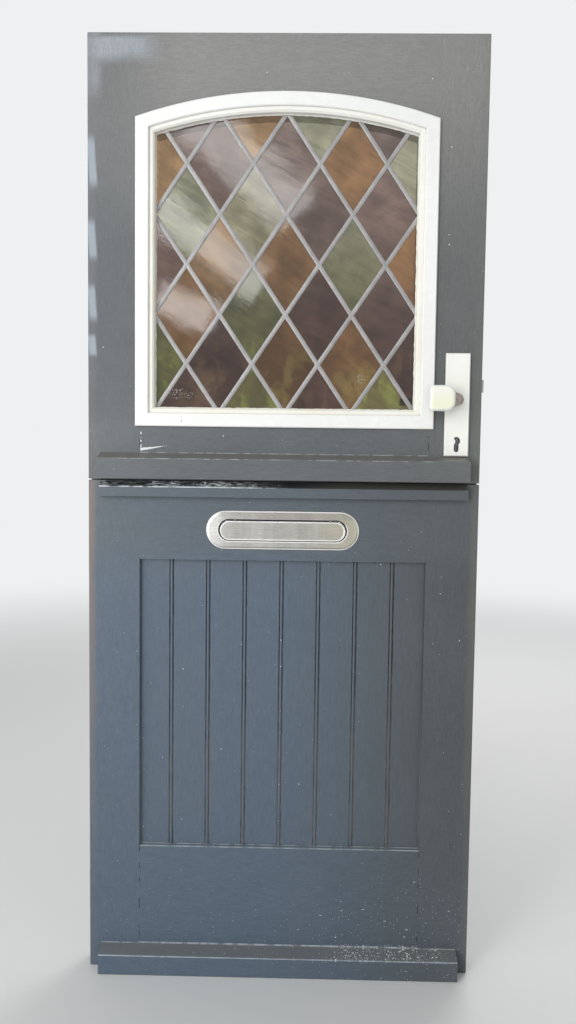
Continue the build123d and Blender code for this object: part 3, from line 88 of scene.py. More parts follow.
# Letter plate, slot and flap, all with round ends
PLATE_LOW, PLATE_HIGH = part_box("letter_plate")
PLATE_HALF_WIDTH = PLATE_HIGH.x
PLATE_RADIUS = (PLATE_HIGH.z - PLATE_LOW.z) / 2
SLOT_HALF_WIDTH = 0.1455
SLOT_RADIUS = 0.025
SLOT_MIDDLE = (PLATE_LOW.z + PLATE_HIGH.z) / 2
FLAP_LOW, FLAP_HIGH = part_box("letter_flap")
FLAP_FACE = FLAP_LOW.y
FLAP_HALF_WIDTH = FLAP_HIGH.x
FLAP_RADIUS = 0.021
FLAP_MIDDLE = FLAP_LOW.z + FLAP_RADIUS
RIM_RADIUS = 0.0016
RIM_DEPTH = 0.0010
RIM_REACH = 0.0006
RIM_BACK = FLAP_FACE + 0.0014

# Black strip behind the flap's edge, a dark piece standing in for shade in the slot, which ends where
# the edge faces up this much
SHADE_STRIP_FRONT = FLAP_FACE + 0.0026
SHADE_STRIP_BACK = SHADE_STRIP_FRONT + 0.002
SHADE_STRIP_GAP = 0.0007
SHADE_STRIP_END = 0.93

# Screws: depths of head and cross, and the cross's arm and width in shares of the head
HEAD_DEPTH = 0.003
CROSS_DEPTH = 0.0020
CROSS_ARM = 0.52
CROSS_WIDTH = 0.12

# Knob, and where its head ends and its neck begins
KNOB_MIDDLE = sum(corner.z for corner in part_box("knob")) / 2
KNOB_HEAD_BACK = -0.0560

# Heights and depths that the paint's wear follows
PANEL_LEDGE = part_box("lower_bottom_rail")[1].z
LEDGE_BACK = -0.015
LOWER_BAR_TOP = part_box("lower_drip_bar")[1].z
MEETING_BAR_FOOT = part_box("meeting_bar")[0].z
UPPER_BAR_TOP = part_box("upper_drip_bar")[1].z
BAR_RISE = 0.012
BAR_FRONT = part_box("upper_drip_bar")[0].y + 0.002


# Materials
class Finish:
    """The node tree of one material and its colour, with short calls for the nodes it needs."""

    def __init__(self, name):
        self.material = bpy.data.materials.new(name)
        self.material.use_nodes = True
        self.tree = self.material.node_tree
        self.tree.nodes.clear()
        self.colour = None
        self.shader = self.make("ShaderNodeBsdfPrincipled", {})
        self.output = self.make("ShaderNodeOutputMaterial", {"Surface": self.shader.outputs[0]})
        coordinates = self.make("ShaderNodeTexCoord", {})
        self.place = coordinates.outputs["Object"]
        self.x, self.y, self.z = self.parts(self.place)
        self.facing = self.parts(coordinates.outputs["Normal"])
        # A sheet laid over the faces that look outwards or upwards
        run = self.minus(self.z, self.y)
        self.sheet = self.make("ShaderNodeCombineXYZ", {0: self.x, 1: run}).outputs[0]

    def make(self, kind, inputs, **settings):
        node = self.tree.nodes.new(kind)
        for key, value in settings.items():
            setattr(node, key, value)
        for key, value in inputs.items():
            self.feed(node.inputs[key], value)
        return node

    def feed(self, socket, value):
        if isinstance(value, bpy.types.NodeSocket):
            self.tree.links.new(value, socket)
        elif isinstance(value, tuple) and socket.type == "RGBA":
            socket.default_value = (*value, 1)
        else:
            socket.default_value = value

    def set(self, **sockets):
        """Sets inputs of the shader, with the finish's colour as it stands."""
        self.feed(self.shader.inputs["Base Color"], self.colour)
        for key, value in sockets.items():
            self.feed(self.shader.inputs[key.replace("_", " ")], value)

    def parts(self, vector):
        return self.make("ShaderNodeSeparateXYZ", {0: vector}).outputs

    def math(self, operation, a, b=0.0):
        return self.make("ShaderNodeMath", {0: a, 1: b}, operation=operation).outputs[0]

    def times(self, value, factor):
        return self.math("MULTIPLY", value, factor)

    def minus(self, a, b):
        return self.math("SUBTRACT", a, b)

    def absolute(self, value):
        return self.math("ABSOLUTE", value)

    def below(self, value, limit):
        return self.math("LESS_THAN", value, limit)

    def above(self, value, limit):
        return self.math("GREATER_THAN", value, limit)

    def span(self, value, low, high, to_low=0.0, to_high=1.0):
        """A smooth step of value from low to high."""
        inputs = {0: value, 1: low, 2: high, 3: to_low, 4: to_high}
        return self.make("ShaderNodeMapRange", inputs, interpolation_type="SMOOTHSTEP").outputs[0]

    def band(self, value, middle, half, soft):
        """1 within half of middle, falling to 0 over soft."""
        away = self.absolute(self.minus(value, middle))
        return self.span(away, half, half + soft, 1.0, 0.0)

    def patch(self, across, up):
        """A spot of the front, from a middle, a half size and a softness across and up."""
        return self.times(self.band(self.x, *across), self.band(self.z, *up))

    def mix(self, factor, a, b):
        inputs = {0: factor, 6: a, 7: b}
        return self.make("ShaderNodeMix", inputs, data_type="RGBA").outputs[2]

    def vector(self, operation, inputs, output=0):
        return self.make("ShaderNodeVectorMath", inputs, operation=operation).outputs[output]

    def lay(self, mask, top, strength=1.0):
        """Lays another colour over the finish's where the mask is 1."""
        mask = mask if strength == 1.0 else self.times(mask, strength)
        self.colour = self.mix(mask, self.colour, top)

    def shade(self, value, low, high):
        """Makes the finish's colour darker or lighter by a value round one half."""
        factor = self.span(value, 0.3, 0.7, low, high)
        self.colour = self.vector("SCALE", {0: self.colour, 3: factor})

    def stretched(self, vector, scale, stretch, shift):
        inputs = {0: vector, 1: tuple(scale * s for s in stretch), 2: (shift, shift, shift)}
        return self.vector("MULTIPLY_ADD", inputs)

    def noise(self, scale, stretch=(1.0, 1.0, 1.0), detail=3.0, roughness=0.5, warp=0.0, shift=0.0):
        vector = self.stretched(self.place, scale, stretch, shift)
        inputs = {"Vector": vector, "Scale": 1.0, "Detail": detail, "Roughness": roughness}
        inputs["Distortion"] = warp
        return self.make("ShaderNodeTexNoise", inputs).outputs["Fac"]

    def ragged(self, width, scale, **settings):
        """Noise round zero, for uneven outlines."""
        return self.times(self.minus(self.noise(scale, **settings), 0.5), width)

    def specks(self, spacing, radius, share, stretch=(1.0, 1.0, 1.0), shift=0.0):
        """Small marks at a share of points scattered over the outer and upper faces."""
        vector = self.stretched(self.sheet, 1 / spacing, stretch, shift)
        inputs = {"Vector": vector, "Scale": 1.0}
        points = self.make("ShaderNodeTexVoronoi", inputs, voronoi_dimensions="2D")
        number = self.make("ShaderNodeSeparateColor", {0: points.outputs["Color"]}).outputs[0]
        size = self.span(number, 1 - share, 1.0, 0.3, 1.0)
        reach = self.times(size, radius / spacing)
        inside = self.below(points.outputs["Distance"], reach)
        chosen = self.above(number, 1 - share)
        sideways = self.absolute(self.facing[0])
        return self.all_of(inside, chosen, self.below(sideways, 0.7))

    def all_of(self, *masks):
        return reduce(self.times, masks)

    def any_of(self, *masks):
        return reduce(partial(self.math, "MAXIMUM"), masks)

    def recess(self, distance, strength=1.0):
        """1 deep in corners and gaps, 0 on open faces."""
        node = self.make("ShaderNodeAmbientOcclusion", {"Distance": distance}, samples=4)
        return self.span(node.outputs["AO"], 0.35, 0.8, strength, 0.0)

    def edges(self, radius):
        """1 along sharp edges, 0 on faces."""
        rounded = self.make("ShaderNodeBevel", {"Radius": radius}, samples=4).outputs[0]
        geometry = self.make("ShaderNodeNewGeometry", {})
        dot = self.vector("DOT_PRODUCT", {0: rounded, 1: geometry.outputs["Normal"]}, "Value")
        return self.span(dot, 0.8, 0.99, 1.0, 0.0)

    def relief(self, *layers):
        """Adds bumps, each a height and its depth in metres, and gives the finished material."""
        normal = None
        for height, depth in layers:
            inputs = {"Strength": 1.0, "Distance": depth, "Height": height}
            if normal is not None:
                inputs["Normal"] = normal
            normal = self.make("ShaderNodeBump", inputs).outputs[0]
        self.set(Normal=normal)
        return self.material


# Paint of the leaves: cool at the hinge side, neutral at the lock side, and paler in places. The cool
# hinge side and the paler tops are partly the paint's own tone and partly painted sky reflection; the
# upper leaf's lighter foot is painted light
UPPER_TONES = ((0.086, 0.095, 0.101), (0.106, 0.112, 0.113), (0.236, 0.232, 0.222))
LOWER_TONES = ((0.090, 0.124, 0.166), (0.074, 0.083, 0.087), (0.122, 0.142, 0.158))
UPPER_FOOT_TONE = (0.200, 0.220, 0.235)
LOWER_TOP_TONE = (0.092, 0.107, 0.119)
LOWER_FOOT_TONE = (0.075, 0.108, 0.150)
# Painted sheen in the upper corner at the hinge side
PAINTED_CORNER_SHEEN = (0.325, 0.355, 0.385)
WORN_ARRIS = (0.30, 0.32, 0.33)
BARE = (0.78, 0.80, 0.80)
CRACK = (0.012, 0.012, 0.012)
# Near black in corners and grooves: dirt and painted shade
RECESS_DIRT_AND_SHADE = (0.030, 0.029, 0.028)
SETTLED_DUST = (0.34, 0.28, 0.235)

# Grime down the hinge and the lock edge: two heights, its strength at them, its colour
UPPER_MARGINS = (
    (1.20, 1.45, 0.15, 0.35, (0.155, 0.160, 0.185)),
    (1.10, 1.60, 0.75, 0.20, (0.150, 0.165, 0.130)),
)
LOWER_MARGINS = (
    (0.20, 1.00, 0.10, 0.80, (0.215, 0.170, 0.155)),
    (0.20, 1.00, 0.30, 0.60, (0.130, 0.135, 0.115)),
)

# Painted sheen in pale streaks down the upper leaf's hinge edge: middle height and half height
SHEEN_STREAKS = ((1.840, 0.056), (1.671, 0.044), (1.533, 0.040), (1.439, 0.024))
SHEEN_STREAK_COLOUR = (0.42, 0.48, 0.54)
SHEEN_STREAK_PLACE = 0.010 - LEAF_HALF

# Chip at the light's lower corner: its upright part, and its line along the rail
CHIP_PLACE = -0.3213
CHIP_MIDDLE = 1.229
CHIP_LINE_HEIGHT = 1.2556
CHIP_LINE_SLOPE = 0.147

# Weather bars and ledge: grime on the slopes, pale lines along their feet, painted highlights along
# their front edges; dust with painted light on the ledge; painted shadow and glints on the meeting bar's
# slope
UPPER_BAR_GRIME = (0.175, 0.168, 0.158)
UPPER_BAR_FOOT = (0.34, 0.35, 0.34)
UPPER_BAR_EDGE_HIGHLIGHT = (0.36, 0.38, 0.38)
LOWER_BAR_GRIME = (0.150, 0.155, 0.158)
LOWER_BAR_FOOT = (0.42, 0.45, 0.47)
LOWER_BAR_EDGE_HIGHLIGHT = (0.36, 0.42, 0.47)
LOWER_BAR_GRIT = (0.80, 0.82, 0.78)
LEDGE_DUST_AND_LIGHT = (0.17, 0.19, 0.20)
LEDGE_HIGHLIGHT = (0.36, 0.41, 0.44)
MEETING_BAR_SHADOW = ((0.022, 0.025, 0.028), (0.075, 0.073, 0.058))
MEETING_BAR_GLINTS = (0.95, 0.97, 0.98)
MEETING_BAR_EDGE_HIGHLIGHT = (0.70, 0.74, 0.76)


def outer_part(f):
    """1 outside, fading to 0 through the timber's thickness."""
    return f.span(f.y, -0.012, 0.012, 1.0, 0.0)


def leaf_tone(f, tones, lower):
    """Paint across a leaf, paler upwards, with soft clouds; its cool hinge side and paler top are partly
    painted sky reflection and painted light.
    """
    cool, neutral, paler_tone = tones
    # Partly painted sky reflection: cooler towards the hinges
    f.colour = f.mix(f.span(f.x, -0.05, 0.40), cool, neutral)
    if lower:
        # Partly painted light: the lower leaf lighter towards its top and bluer towards its foot
        f.lay(f.span(f.z, 0.90, 1.02, 0.0, 0.60), LOWER_TOP_TONE)
        f.lay(f.span(f.z, 0.0, 0.7, 0.25, 0.0), LOWER_FOOT_TONE)
    else:
        # Painted light: the upper leaf lighter at its foot and paler towards its top
        f.lay(f.span(f.z, 1.30, 1.25, 0.0, 0.15), UPPER_FOOT_TONE)
        across = f.span(f.x, -0.42, -0.20, 0.40, 1.0)
        f.lay(f.all_of(across, f.span(f.z, 1.55, 2.08)), paler_tone)
        # Painted sheen in the upper corner at the hinge side
        f.lay(corner_sheen(f), PAINTED_CORNER_SHEEN)
    cloud = f.noise(3.4, detail=4.0, roughness=0.55, warp=0.4)
    f.lay(f.span(cloud, 0.40, 0.78, 0.0, 0.20), paler_tone)


def corner_sheen(f):
    """Painted sheen of the sky round the upper corner at the hinge side."""
    height = f.math("ADD", f.z, f.ragged(0.05, 5.0, shift=9.0))
    along_top = f.all_of(
        f.span(f.x, -0.26, -0.34),
        f.span(height, DOOR_TOP - 0.080, DOOR_TOP - 0.040),
        f.span(f.z, DOOR_TOP - 0.002, DOOR_TOP - 0.015),
        0.85,
    )
    down_side = f.all_of(
        f.span(f.x, 0.040 - LEAF_HALF, 0.015 - LEAF_HALF),
        f.span(height, DOOR_TOP - 0.160, DOOR_TOP - 0.095),
        0.55,
    )
    return f.all_of(f.any_of(along_top, down_side), outer_part(f))


def weathered_margins(f, lower):
    """Grime down both edges of a leaf, and painted sheen in pale streaks down the upper leaf's hinge
    edge.
    """
    ragged = f.ragged(0.022, 6.0, detail=4.0)
    inwards = f.math("ADD", f.absolute(f.x), ragged)
    outer = outer_part(f)
    margin = f.all_of(f.span(inwards, LEAF_HALF - 0.024, LEAF_HALF - 0.006), outer)
    sides = (f.below(f.x, 0.0), f.above(f.x, 0.0))
    margins = LOWER_MARGINS if lower else UPPER_MARGINS
    for side, (low, high, at_low, at_high, grime) in zip(sides, margins):
        f.lay(f.all_of(margin, side, f.span(f.z, low, high, at_low, at_high)), grime)
    if lower:
        return
    # Painted sheen: pale slanted streaks down the hinge edge
    for middle, half in SHEEN_STREAKS:
        slant = f.times(f.minus(f.z, middle), 0.07)
        place = f.math("ADD", f.math("ADD", f.x, slant), f.times(ragged, 0.25))
        across = f.band(place, SHEEN_STREAK_PLACE, 0.0050, 0.0065)
        sheen_streak = f.all_of(across, f.band(f.z, middle, half * 0.6, half * 0.6), outer)
        f.lay(sheen_streak, SHEEN_STREAK_COLOUR, 0.60)


def joint_cracks(f, lower):
    """Broken hairlines where rails meet stiles."""
    joint = f.band(f.absolute(f.x), OPENING_HALF, 0.0005, 0.0007)
    broken = f.span(f.noise(30.0, (0.0, 0.0, 1.0), shift=2.0), 0.50, 0.57)
    top = PANEL_LEDGE if lower else SILL
    face = f.band(f.y, OUTSIDE, 0.0005, 0.0005)
    f.lay(f.all_of(joint, broken, f.below(f.z, top), face), CRACK)


def bare_marks(f, lower):
    """Specks of bare ground, thicker and dragged sideways low down at the lock side."""
    marks = f.any_of(f.specks(0.045, 0.0014, 0.08), f.specks(0.015, 0.0007, 0.04, shift=7.0))
    if not lower:
        return f.any_of(marks, corner_chip(f))
    low = f.all_of(f.span(f.x, -0.15, 0.20, 0.3, 1.0), f.span(f.z, 0.31, 0.12))
    scratches = f.specks(0.0085, 0.0006, 0.22, (0.17, 1.0, 1.0), 3.0)
    grit = f.specks(0.0075, 0.0007, 0.20, shift=4.0)
    return f.any_of(marks, f.all_of(f.any_of(scratches, grit), low))


def corner_chip(f):
    """A chip below the light's lower corner, upright and then along the rail, thinning out."""
    upright = f.all_of(
        f.band(f.x, CHIP_PLACE, 0.0011, 0.0003),
        f.band(f.z, CHIP_MIDDLE, 0.021, 0.002),
        f.span(f.noise(210.0, (0.2, 0.2, 1.0), 2.0, shift=1.0), 0.50, 0.54),
    )
    line = f.math("ADD", CHIP_LINE_HEIGHT, f.times(f.x, CHIP_LINE_SLOPE))
    frayed = f.ragged(0.004, 330.0, detail=2.0)
    away = f.math("ADD", f.absolute(f.minus(f.z, line)), frayed)
    thick = f.span(f.x, CHIP_PLACE - 0.0002, -0.262, 0.0030, 0.0003)
    along = f.all_of(f.below(away, thick), f.band(f.x, -0.292, 0.030, 0.001))
    return f.all_of(f.any_of(upright, along), f.below(f.y, 0.0), 1.3)


def bar_wear_and_light(f, lower):
    """Wear, painted highlights and painted shadow on a leaf's level parts: its weather bars and, on the
    lower leaf, the panel's ledge.
    """
    uneven = f.noise(46.0, (1.0, 0.2, 0.2), 5.0, 0.65, shift=6.0)
    outer = f.below(f.y, 0.0)
    up = f.all_of(f.span(f.facing[2], 0.3, 0.6), outer)

    def line(height, half, weakest, ready=0.5):
        """A level line, broken in patches, used for pale wear along the feet and for painted highlights
        along the front edges.
        """
        patchy = f.span(uneven, ready - 0.12, ready + 0.08, weakest, 1.0)
        return f.all_of(f.band(f.z, height, half, 0.0006), patchy, outer)

    if lower:
        patches = f.all_of(f.span(uneven, 0.36, 0.50, 0.2, 1.0), outer)
        lower_bar_wear_and_highlight(f, line, up, patches)
        ledge_dust_and_highlights(f, line)
        meeting_bar_painted_light(f, line, up)
        return
    slope = f.all_of(up, f.band(f.z, UPPER_BAR_TOP, 0.014, 0.002))
    f.lay(slope, UPPER_BAR_GRIME, 0.8)
    f.lay(line(UPPER_BAR_TOP + 0.0008, 0.0010, 0.05), UPPER_BAR_FOOT, 0.7)
    # Painted highlight along the bar's front edge
    front = f.all_of(line(UPPER_BAR_TOP - BAR_RISE, 0.0008, 0.0, 0.55), f.below(f.y, BAR_FRONT))
    f.lay(front, UPPER_BAR_EDGE_HIGHLIGHT)


def lower_bar_wear_and_highlight(f, line, up, patches):
    """Grime on the slope, grit towards the lock side, a pale line along the foot and a painted highlight
    along the front edge.
    """
    slope = f.all_of(up, f.below(f.z, LOWER_BAR_TOP + 0.001))
    f.lay(slope, LOWER_BAR_GRIME, 0.75)
    coarse = f.specks(0.0050, 0.0011, 0.45, (0.6, 1.0, 1.0), 5.0)
    grit = f.any_of(coarse, f.specks(0.0032, 0.0008, 0.45, shift=9.0))
    gritty = f.all_of(f.span(f.x, 0.08, 0.20), f.span(f.x, 0.40, 0.36), patches)
    gritty = f.all_of(gritty, f.band(f.z, LOWER_BAR_TOP - 0.004, 0.008, 0.004))
    scattered = f.all_of(f.specks(0.012, 0.0012, 0.25, shift=6.0), slope, 0.7)
    f.lay(f.any_of(f.all_of(grit, gritty), scattered), LOWER_BAR_GRIT)
    f.lay(line(LOWER_BAR_TOP + 0.0006, 0.0011, 0.2), LOWER_BAR_FOOT, 0.85)
    # Painted highlight along the bar's front edge
    front = f.all_of(line(LOWER_BAR_TOP - BAR_RISE, 0.0009, 0.55), f.below(f.y, BAR_FRONT))
    f.lay(front, LOWER_BAR_EDGE_HIGHLIGHT, 0.8)


def ledge_dust_and_highlights(f, line):
    """Dust with painted light on the ledge under the boards, and two painted highlight lines."""
    part = f.below(f.y, LEDGE_BACK)
    ledge = f.all_of(f.band(f.z, PANEL_LEDGE - 0.0015, 0.0022, 0.0010), part)
    # Dust with painted light: the shaded ledge made paler
    f.lay(ledge, LEDGE_DUST_AND_LIGHT, 0.4)
    # Painted highlights in two lines along the ledge
    front = line(PANEL_LEDGE - 0.0030, 0.0005, 0.30)
    back = line(PANEL_LEDGE + 0.0002, 0.0005, 0.0)
    f.lay(f.all_of(f.any_of(front, back), part), LEDGE_HIGHLIGHT)


def meeting_bar_painted_light(f, line, up):
    """A slope painted near black as the drip bar's shadow, with painted glints towards the hinges and a
    painted highlight along its front edge.
    """
    proud = f.below(f.y, OUTSIDE - 0.0005)
    slope = f.all_of(f.above(f.z, MEETING_BAR_FOOT + 0.0205), proud, up)
    # Painted shadow of the drip bar above: the slope near black
    f.lay(slope, f.mix(f.span(f.x, 0.0, 0.15), *MEETING_BAR_SHADOW), 0.92)
    # Painted glints on the slope towards the hinges
    towards_hinges = f.span(f.x, 0.02, -0.10)
    streaks = f.span(f.noise(520.0, (0.13, 1.0, 1.0), 3.0, 0.6, shift=4.0), 0.50, 0.57)
    patches = f.span(f.noise(22.0, (1.0, 0.3, 0.3), shift=1.0), 0.38, 0.60, 0.25, 1.0)
    glints = f.any_of(f.specks(0.005, 0.0013, 0.30, (0.6, 1.0, 1.0), 8.0), streaks)
    f.lay(f.all_of(slope, glints, towards_hinges, patches), MEETING_BAR_GLINTS)
    # Painted highlight along the front edge
    front = f.all_of(line(MEETING_BAR_FOOT + 0.0222, 0.0010, 0.1, 0.47), proud, towards_hinges)
    f.lay(front, MEETING_BAR_EDGE_HIGHLIGHT)


def painted_timber(name, tones, grain, lower):
    """Satin paint brushed along the grain, with dirt and painted shade in its recesses, dust, specks,
    cracks and worn arrises, and painted highlights and shadow on its level parts.
    """
    f = Finish(name)
    fine_along, coarse_along = {
        "x": ((0.05, 1.0, 1.0), (0.10, 1.0, 1.0)),
        "z": ((1.0, 1.0, 0.05), (1.0, 1.0, 0.10)),
    }[grain]
    brush = f.noise(700.0, fine_along, 4.0, 0.6)
    coarse = f.noise(170.0, coarse_along, 3.0, 0.6)
    fine = f.noise(240.0)
    leaf_tone(f, tones, lower)
    f.shade(brush, 0.90, 1.11)
    f.shade(coarse, 0.965, 1.035)
    f.shade(fine, 0.95, 1.05)
    weathered_margins(f, lower)
    grime = RECESS_DIRT_AND_SHADE
    if lower and grain == "z":
        # Dust lies in the grooves between the boards lower down
        dusty = f.noise(60.0, (1.0, 1.0, 0.25), shift=3.0)
        settled = f.any_of(f.span(f.z, 0.74, 0.45), f.span(dusty, 0.56, 0.66, 0.0, 0.6))
        settled = f.times(settled, f.span(dusty, 0.30, 0.55, 0.35, 1.0))
        grime = f.mix(settled, grime, SETTLED_DUST)
    # Dirt and painted shade in corners and grooves, with dust settled in the lower grooves
    f.lay(f.recess(0.0045, 0.85), grime)
    joint_cracks(f, lower)
    if grain == "x":
        bar_wear_and_light(f, lower)
    marks = bare_marks(f, lower)
    f.lay(marks, BARE, 0.8)
    joint = f.band(f.absolute(f.x), OPENING_HALF, 0.003, 0.001)
    beside_joint = f.minus(1.0, joint)
    rub = f.all_of(f.edges(0.0011), beside_joint, f.span(f.noise(60.0, detail=4.0), 0.45, 0.62))
    f.lay(rub, WORN_ARRIS, 0.45)
    f.set(Roughness=f.span(coarse, 0.2, 0.8, 0.36, 0.52))
    return f.relief((brush, 0.00022), (fine, 0.00008), (marks, -0.0002))


# Knocks near the light's lower corner at the hinge side, and the white paint's other tones, painted
# shade among them
KNOCKS = ((-0.239, 0.010, 0.002), (SILL + 0.0065, 0.005, 0.001))
KNOCK = (0.05, 0.05, 0.05)
WHITE_SHADED_UP_HIGH = (0.82, 0.82, 0.80)
WHITE_DUST_AND_SHADE_IN_CORNERS = (0.50, 0.47, 0.38)
WHITE_IN_JOINTS = (0.16, 0.15, 0.13)
WHITE_ARRIS = (0.45, 0.44, 0.40)


def white_paint(name, clean, yellowed):
    """Gloss white with brush marks, greyed high up by painted shade, cream in the corners with dust and
    painted shade, and a few dark marks.
    """
    f = Finish(name)
    cloud = f.noise(7.0, detail=4.0)
    brush = f.noise(500.0, (0.12, 1.0, 0.12), 3.0, 0.6)
    f.colour = f.mix(f.span(cloud, 0.3, 0.8), clean, yellowed)
    # Painted shade: greyer high up
    f.lay(f.span(f.z, 1.75, 1.95, 0.0, 0.5), WHITE_SHADED_UP_HIGH)
    f.shade(brush, 0.985, 1.015)
    # Dust and painted shade in the corners
    f.lay(f.recess(0.008, 0.45), WHITE_DUST_AND_SHADE_IN_CORNERS)
    f.lay(f.recess(0.0016, 0.9), WHITE_IN_JOINTS)
    knocks = f.all_of(f.specks(0.006, 0.0016, 0.42, shift=2.0), f.patch(*KNOCKS), f.below(f.y, 0.0))
    grime = f.specks(0.020, 0.0007, 0.08, shift=5.0)
    f.lay(f.any_of(knocks, f.times(grime, 0.45)), KNOCK)
    rub = f.all_of(f.edges(0.001), f.span(f.noise(80.0, detail=4.0), 0.55, 0.7))
    f.lay(rub, WHITE_ARRIS, 0.35)
    f.set(Roughness=f.span(cloud, 0.2, 0.8, 0.24, 0.40))
    return f.relief((brush, 0.00012), (cloud, 0.0004))


def lead(name, pale, dark, smooth):
    """Weathered lead: a rubbed crown between dull oxide flanks."""
    f = Finish(name)
    grain = f.noise(420.0, detail=4.0, roughness=0.65)
    cloud = f.noise(30.0)
    f.colour = pale
    f.shade(cloud, 0.86, 1.08)
    flank = f.span(f.absolute(f.facing[1]), 0.93, 0.70)
    for oxide in (f.span(grain, 0.5, 0.75, 0.0, 0.7), f.times(flank, 0.8), f.recess(0.003, 0.6)):
        f.lay(oxide, dark)
    f.set(Metallic=0.3, Roughness=f.span(grain, 0.3, 0.8, smooth, smooth + 0.2))
    return f.relief((grain, 0.00018), (cloud, 0.0006))


# Each glass: its tones low down and high up, the high tone paler as painted reflection, its
# straw-coloured wisps, its sheet's number
GLASS = {
    "amber_glass": ((0.125, 0.067, 0.026), (0.34, 0.212, 0.105), (0.24, 0.18, 0.05), 1),
    "green_glass": ((0.110, 0.104, 0.038), (0.30, 0.30, 0.21), (0.22, 0.25, 0.055), 2),
    "purple_glass": ((0.070, 0.038, 0.030), (0.21, 0.158, 0.138), (0.14, 0.09, 0.045), 3),
}
WARMER = (1.10, 0.97, 0.93)

# White specks beside two cames
WHITE_SPECK_SPOTS = (
    ((-0.233, 0.018, 0.014), (1.334, 0.008, 0.007)),
    ((0.171, 0.006, 0.006), (1.371, 0.007, 0.005)),
)
WHITE_SPECK_COLOUR = (0.80, 0.82, 0.80)


def streaky_glass(name, low, high, straw, seed):
    """Cathedral glass: soft clouds and faint streaks through it, paler higher up as painted reflection,
    a rippled face.
    """
    f = Finish(name)
    turned = f.make(
        "ShaderNodeVectorRotate",
        {"Vector": f.place, "Axis": (0.0, 1.0, 0.0), "Angle": math.radians(-44 + 7 * seed)},
        rotation_type="AXIS_ANGLE",
    ).outputs[0]
    plain, f.place = f.place, turned
    streaks = f.noise(26.0, (0.30, 1.0, 2.2), 4.0, 0.55, 0.5, shift=seed)
    threads = f.noise(420.0, (0.12, 1.0, 1.0), 3.0, 0.65, shift=seed + 3)
    f.place = plain
    clouds = f.noise(13.0, warp=0.3, shift=seed * 1.7)
    swell = f.noise(9.0, detail=1.0, shift=seed)
    # Painted reflection: the glass paler higher up
    f.colour = f.mix(f.span(f.z, 1.38, 1.93), low, high)
    # Each pane was cut from another part of its sheet
    across = f.times(f.x, 0.5 / LOZENGE_HALF_WIDTH)
    rise = f.times(f.minus(f.z, LATTICE_BOTTOM), 0.5 / LOZENGE_HALF_HEIGHT)
    cell = f.make("ShaderNodeCombineXYZ", {
        0: f.math("FLOOR", f.math("ADD", across, rise)),
        1: f.math("FLOOR", f.minus(across, rise)),
        2: seed,
    }).outputs[0]
    number = f.make("ShaderNodeTexWhiteNoise", {"Vector": cell}).outputs["Value"]
    f.shade(number, 0.84, 1.12)
    warm = f.vector("MULTIPLY", {0: f.colour, 1: WARMER})
    f.lay(f.math("FRACT", f.times(number, 7.3)), warm)
    wisps = f.span(f.noise(17.0, (1.4, 1.0, 0.8), 4.0, 0.6, 0.6, shift=5.0), 0.47, 0.62)
    f.lay(f.all_of(wisps, f.span(f.z, 1.50, 1.36)), straw, 0.55)
    f.shade(clouds, 0.76, 1.24)
    f.shade(streaks, 0.88, 1.14)
    f.shade(threads, 0.90, 1.10)
    drops = f.any_of(f.specks(0.0045, 0.0009, 0.40), f.specks(0.0032, 0.0006, 0.35, shift=2.0))
    places = f.any_of(*(f.patch(*white_specks) for white_specks in WHITE_SPECK_SPOTS))
    white_specks = f.above(f.times(drops, places), 0.3)
    rough = f.any_of(f.span(clouds, 0.2, 0.8, 0.02, 0.06), f.times(white_specks, 0.6))
    f.lay(white_specks, WHITE_SPECK_COLOUR)
    f.set(Roughness=rough)
    f.set(Transmission_Weight=f.minus(1.0, white_specks), IOR=1.52)
    return f.relief((swell, 0.0007), (streaks, 0.00004), (threads, 0.00003))


# Lacquer, its wear, and painted shade on the knob's neck and in the corners
KNOB_TOP = (0.92, 0.92, 0.83)
NECK_PAINTED_SHADE = (0.27, 0.165, 0.115)
LACQUER_SHADE_IN_CORNERS = (0.45, 0.38, 0.28)
LACQUER_SPECK = (0.10, 0.09, 0.07)
LACQUER_ARRIS = (0.55, 0.53, 0.45)


def cream_metal(name, face, side, neck=None):
    """Lacquer on cast metal: a yellowed face, whiter sides, a neck painted brown as shade and
    reflection, and painted shade in the corners.
    """
    f = Finish(name)
    cloud = f.noise(18.0, detail=4.0)
    peel = f.noise(420.0, detail=2.0)
    if neck is not None:
        face = f.mix(f.span(f.z, KNOB_MIDDLE + 0.025, KNOB_MIDDLE - 0.020), KNOB_TOP, face)
    f.colour = f.mix(f.span(f.absolute(f.facing[1]), 0.80, 0.97), side, face)
    f.shade(cloud, 0.97, 1.02)
    if neck is not None:
        # Painted shade and reflection: the neck brown behind the head
        neck_shade_patches = f.span(f.noise(260.0), 0.3, 0.65, 0.55, 1.0)
        f.lay(f.all_of(f.span(f.y, neck, neck + 0.002), neck_shade_patches), NECK_PAINTED_SHADE)
    # Painted shade in the corners
    f.lay(f.recess(0.009, 0.45), LACQUER_SHADE_IN_CORNERS)
    f.lay(f.specks(0.014, 0.0006, 0.12), LACQUER_SPECK, 0.6)
    rub = f.all_of(f.edges(0.0008), f.span(f.noise(120.0, detail=4.0), 0.5, 0.66))
    f.lay(rub, LACQUER_ARRIS, 0.5)
    f.set(Roughness=f.span(cloud, 0.2, 0.8, 0.24, 0.38))
    f.set(Coat_Weight=0.25, Coat_Roughness=0.12)
    return f.relief((peel, 0.00005), (cloud, 0.0002))


# Dirt with painted shade, and specks, on metal
METAL_DIRT_AND_SHADE = (0.06, 0.05, 0.04)
METAL_SPECK = (0.12, 0.08, 0.05)


